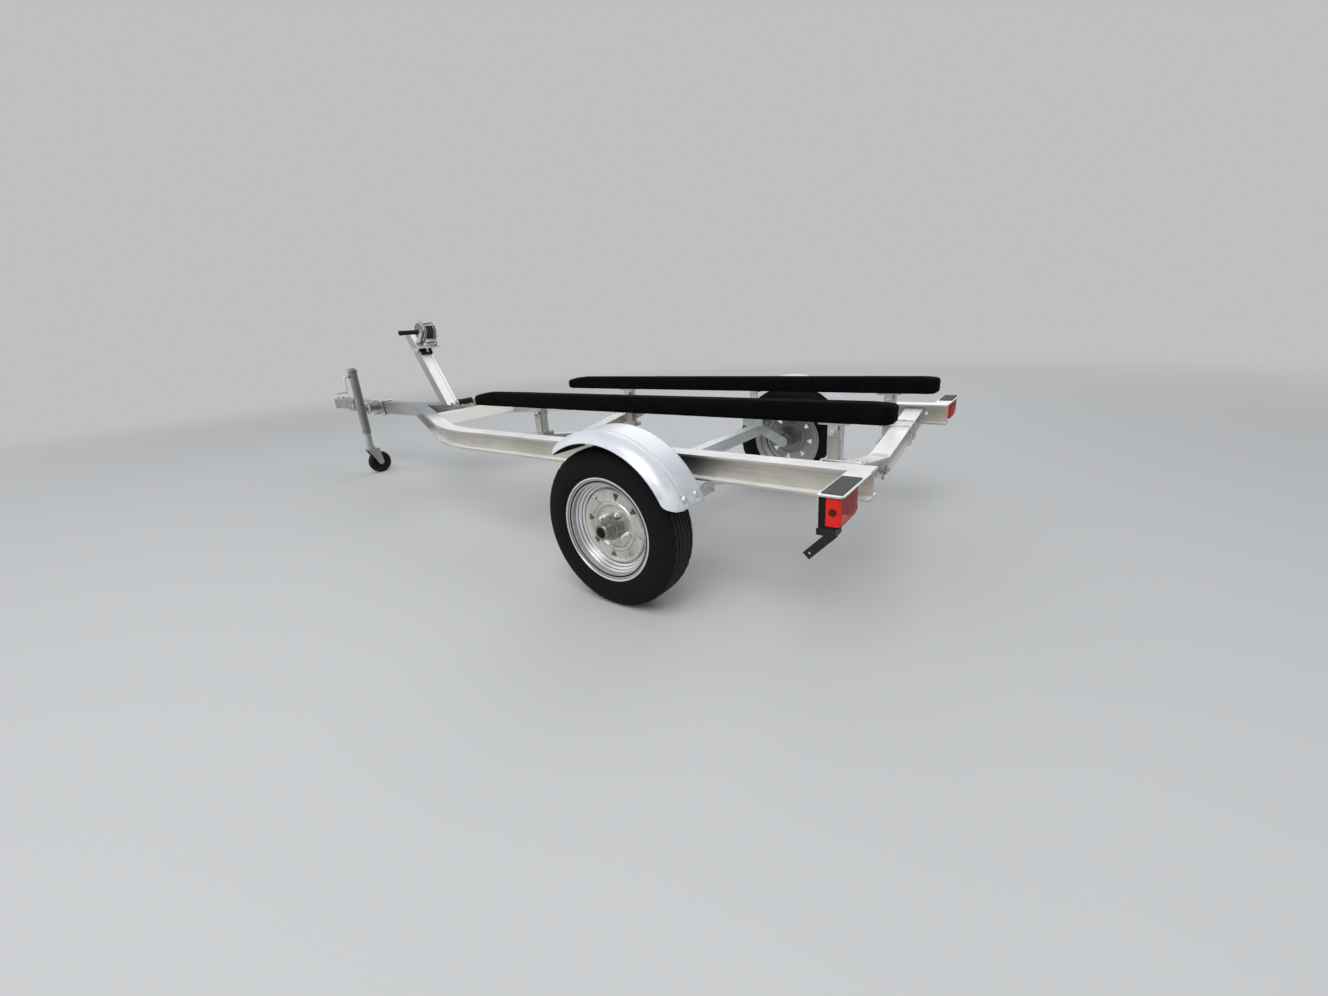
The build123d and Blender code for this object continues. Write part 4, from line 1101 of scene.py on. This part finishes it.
def winch_trim():
    # pawl, spacer bolts and the bolts that hold the shelf to the post
    s = Shape()
    for x, z in ((2036.0, 857.0), (2098.0, 853.0)):
        for y in (-1, 1):
            s.bolt((x, y * 35, z), Y * y, 12)
        s.lathe([(4.5, -32), (4.5, 32)], (x, 0, z), segs=14)
    s.bolt((2021.0, -35, 966.0), -Y, 10)
    s.lathe([(4.0, -32), (4.0, 32)], (2021.0, 0, 966.0), segs=14)
    s.prism([(-9, -7), (22, -9), (40, 2), (38, 9), (14, 8), (-8, 7)], (2024, -35, 905), (1, 0, 0.2), Z, 4)
    s.bolt((2024, -39, 905), -Y, 12)
    for x in (2128.0, 2152.0):
        for y in (-1, 1):
            s.bolt((x, y * 43.4, 824.0), Y * y, 13)
    for y in (-20.0, 20.0):
        s.bolt((2050.0, y, 844.0), Z, 12)
        s.bolt((2050.0, y, 836.0), -Z, 12)
    s.bolt((2093.5, 0, 815.0), (-1, 0, 0.62), 14)
    return s.make("winch_trim", ["bright"], bevel=0.3)


def keel_wheel():
    s = Shape()
    profile = [(8.2, -46), (16.5, -46), (18.6, -44.6), (19, -42), (18.4, -39), (17.6, -30), (17.2, -14)]
    profile += [(r, -y) for r, y in reversed(profile)]
    s.lathe(profile, (ROLLER_X, 0, ROLLER_Z), segs=56, closed=True)
    return s.make("keel_roller_rubber", ["rubber"], "keel_wheel", stands_for=["keel_roller"])


def roller_pins():
    s = Shape()
    for y in (-1, 1):
        s.nut((ROLLER_X, y * 54, ROLLER_Z), Y * y, 15, 6, 4)
        s.bolt((1775, y * 30, 494), Z, 12)
    return s.make("roller_pin_nuts", ["zinc_white"])


winch_reel()
winch_handle()
winch_trim()
keel_wheel()
roller_pins()

# coupler


def coupler_parts():
    s = Shape()
    # curved lever with a turned-up end, its catch block and trigger
    side = [(3245, 512), (3250, 519), (3262, 522), (3300, 519), (3360, 516), (3420, 517), (3446, 519),
            (3462, 514), (3464, 506), (3452, 500), (3440, 508), (3400, 509.5), (3340, 509), (3290, 513),
            (3262, 515), (3250, 509)]
    s.prism(side, (0, 11, 0), X, Z, 22)
    s.prism([(3392, BEAM_TOP), (3458, BEAM_TOP), (3450, 509), (3400, 511)], (0, 13, 0), X, Z, 26)
    s.lathe([(5, -17), (5, 17)], (3446, 0, 508), segs=20)
    s.nut((3446, 14, 508), Y, 12, 4, 3)
    s.bolt((3446, -14, 508), -Y, 12)
    s.prism([(3300, 509), (3338, 507), (3332, 497), (3312, 500)], (0, 4, 0), X, Z, 8)
    return s.make("coupler_lever", ["bright"], bevel=1.4, stands_for=["coupler_latch"])


def coupler_bolts():
    s = Shape()
    for x in (3192.0, 3244.0):
        # low round heads on the side where the folded jack's wheel lies
        s.dome((x, 38, 449), Y, 10.5, 2.6)
        s.nut((x, -38, 449), -Y, 18, 6, 6)
    # round boss on the coupler's top
    s.lathe([(12, 0), (12, 10), (10, 13), (6, 13)], (3456, 0, BEAM_TOP), Z, 26)
    return s.make("coupler_bolts", ["zinc_white"], bevel=0.3)


# jack

JACK = Vector((2790.0, 160.0, 0))
SWIVEL_Z, CRANK_Z = 459, 683
CASTER = Vector((JACK.x, JACK.y - 40, 75))


def jack_clamps():
    s = Shape()
    for x in (2735.0, 2850.0):
        bend = [(x, 56, BEAM_TOP), (x, -38, BEAM_TOP), (x, -38, BEAM_LOW), (x, 56, BEAM_LOW)]
        s.tube(rounded(bend, 14, 6), 5.6, 14)
        for z in (BEAM_TOP, BEAM_LOW):
            s.nut((x, 39, z), Y, 17, 5, 5)
    return s.make("jack_clamps", ["bright"])


def jack_pin():
    # spring pin that locks the swivel, with its pull ring
    s = Shape()
    s.lathe([(9, 0), (9, 20), (7, 22), (5, 22), (5, 30)], (JACK.x - 30, 92, 489), Y, 24)
    ring = [(JACK.x - 30 + 13 * math.cos(t), 86 - 1.5 * math.sin(t), 489 + 13 * math.sin(t) + 9)
            for t in [2 * math.pi * k / 28 for k in range(28)]]
    s.tube(ring, 2, 8, closed=True)
    s.lathe([(20, 0), (20, 5), (16, 7), (10, 7)], (JACK.x, 117, SWIVEL_Z), -Y, 36)
    return s.make("jack_pin", ["zinc_white"], bevel=0.3)


def jack_head():
    s = Shape()
    s.lathe([(27.2, 0), (30.6, 1), (31, 3), (31, 15), (29, 18), (22, 21), (20, 23.5), (14, 26), (6, 27)],
            JACK + Z * 706, Z, 48)
    s.lathe([(27.1, 0), (28.6, 1), (28.6, 9), (27.1, 10)], JACK + Z * 291, Z, 48)
    s.lathe([(12, 0), (12, 10), (9, 12)], JACK + Vector((0, 26, CRANK_Z)), Y, 28)
    s.lathe([(27.1, 0), (28.8, 1), (28.8, 5), (27.1, 6)], JACK + Z * 560, Z, 48)
    # the bright ring round the swivel flange is a painted highlight
    s.lathe([(42.05, 0.4), (43.6, 1.4), (43.6, 5.6), (42.05, 6.9), (30, 7.4), (24.5, 8)],
            (JACK.x, 117.3, SWIVEL_Z), Y, 56, tag=1)
    return s.make("jack_head", ["zinc", "bright"], "jack_body", bevel=0.5)


def jack_handle():
    s = Shape()
    x = JACK.x
    s.tube(rounded([(x, 188, CRANK_Z), (x, 221, CRANK_Z), (x, 225, 585), (x, 291, 585)], 12, 6), 6.4, 16)
    s.lathe([(8, 0), (10.6, 2), (11, 6), (10, 12), (9.6, 36), (10.4, 58), (10.8, 64), (9, 68), (4, 69)],
            (x, 222, 585), Y, 28)
    s.lathe([(9.4, 0), (9.4, 14), (7, 15)], (x, 187.5, CRANK_Z), Y, 24)
    return s.make("jack_handle", ["bright"], "jack_body", stands_for=["jack_crank"])


def jack_tyre():
    s = Shape()
    half = [(8.3, 16), (16, 16.5), (18, 19.6), (24, 19.8), (27, 15), (30, 9.6), (44, 9.4), (49, 13),
            (51, 18), (54, 19.4), (63, 20), (70, 18.4), (74, 14), (75, 8), (75, 2)]
    s.lathe(half + [(r, -h) for r, h in reversed(half)], CASTER, X, 96, closed=True)
    for k in range(6):
        a = math.pi / 3 * k
        out = Vector((0, math.cos(a), math.sin(a)))
        side = Vector((0, -math.sin(a), math.cos(a)))
        s.prism([(26, -3), (48, -2.4), (48, 2.4), (26, 3)], CASTER - X * 15, out, side, 30)
    return s.make("jack_tyre", ["rubber"], "jack_roller", stands_for=["jack_wheel"])


def fork_pin():
    s = Shape()
    for d in (-1, 1):
        s.nut(CASTER + X * d * 29, X * d, 15, 6, 4)
    return s.make("fork_pin_nuts", ["zinc_white"], "caster")


coupler_parts()
coupler_bolts()
jack_clamps()
jack_pin()
jack_head()
jack_handle()
jack_tyre()
fork_pin()

# floor and light

PALE = (0.52, 0.525, 0.53)


def backdrop_world():
    # what the camera, gloss and glass see is the backdrop; the rest is soft sky light
    world = bpy.data.worlds.new("studio")
    bpy.context.scene.world = world
    world.use_nodes = True
    t = world.node_tree
    sky = t.nodes["Background"]
    feed(t, sky.inputs["Color"], (0.94, 0.97, 1.0))
    feed(t, sky.inputs["Strength"], 0.58)
    seen = add_node(t, "ShaderNodeBackground", {"Color": PALE, "Strength": 1.0})
    rays = add_node(t, "ShaderNodeLightPath").outputs
    shown = rays["Is Camera Ray"]
    for ray in ("Is Glossy Ray", "Is Transmission Ray"):
        shown = add_node(t, "ShaderNodeMath", {0: shown, 1: rays[ray]}, operation="MAXIMUM").outputs[0]
    mix = add_node(t, "ShaderNodeMixShader", {0: shown, 1: sky.outputs[0], 2: seen.outputs[0]})
    feed(t, t.nodes["World Output"].inputs["Surface"], mix.outputs[0])


def floor_material():
    # far from the trailer the floor fades into the backdrop
    n = Nodes("floor_pale")
    n.put(Base_Color=PALE, Roughness=0.9, Specular_IOR_Level=0.05)
    far = n.add("ShaderNodeVectorMath", {0: n.coord}, operation="LENGTH").outputs["Value"]
    reach = {"From Min": 3.2, "From Max": 9.0, "Value": far}
    fade = n.add("ShaderNodeMapRange", reach, interpolation_type="SMOOTHSTEP").outputs["Result"]
    glow = n.add("ShaderNodeEmission", {"Color": PALE})
    mix = n.add("ShaderNodeMixShader", {0: fade, 1: n.bsdf.outputs[0], 2: glow.outputs[0]})
    feed(n.tree, n.tree.nodes["Material Output"].inputs["Surface"], mix.outputs[0])
    return n.mat


def studio():
    bpy.ops.mesh.primitive_plane_add(size=80, location=(0, 0, 0))
    floor = bpy.context.object
    floor.name = "floor"
    floor.data.materials.append(floor_material())
    backdrop_world()
    for name, size, power, place, aim in (
        ("key", 3.6, 165, (-2.6, 3.2, 4.6), (0, 0, 0.4)),
        ("fill", 6.0, 60, (3.6, 3.2, 3.4), (0.5, 0, 0.4)),
        ("back", 5.0, 90, (0.5, -4.5, 4.2), (0, 0, 0.4)),
    ):
        data = bpy.data.lights.new(name, "AREA")
        data.size = size
        data.energy = power
        lamp = new_object(name, data)
        lamp.location = place
        lamp.rotation_euler = (Vector(aim) - Vector(place)).to_track_quat("-Z", "Y").to_euler()


studio()
scene = bpy.context.scene
scene.view_settings.view_transform = "Standard"
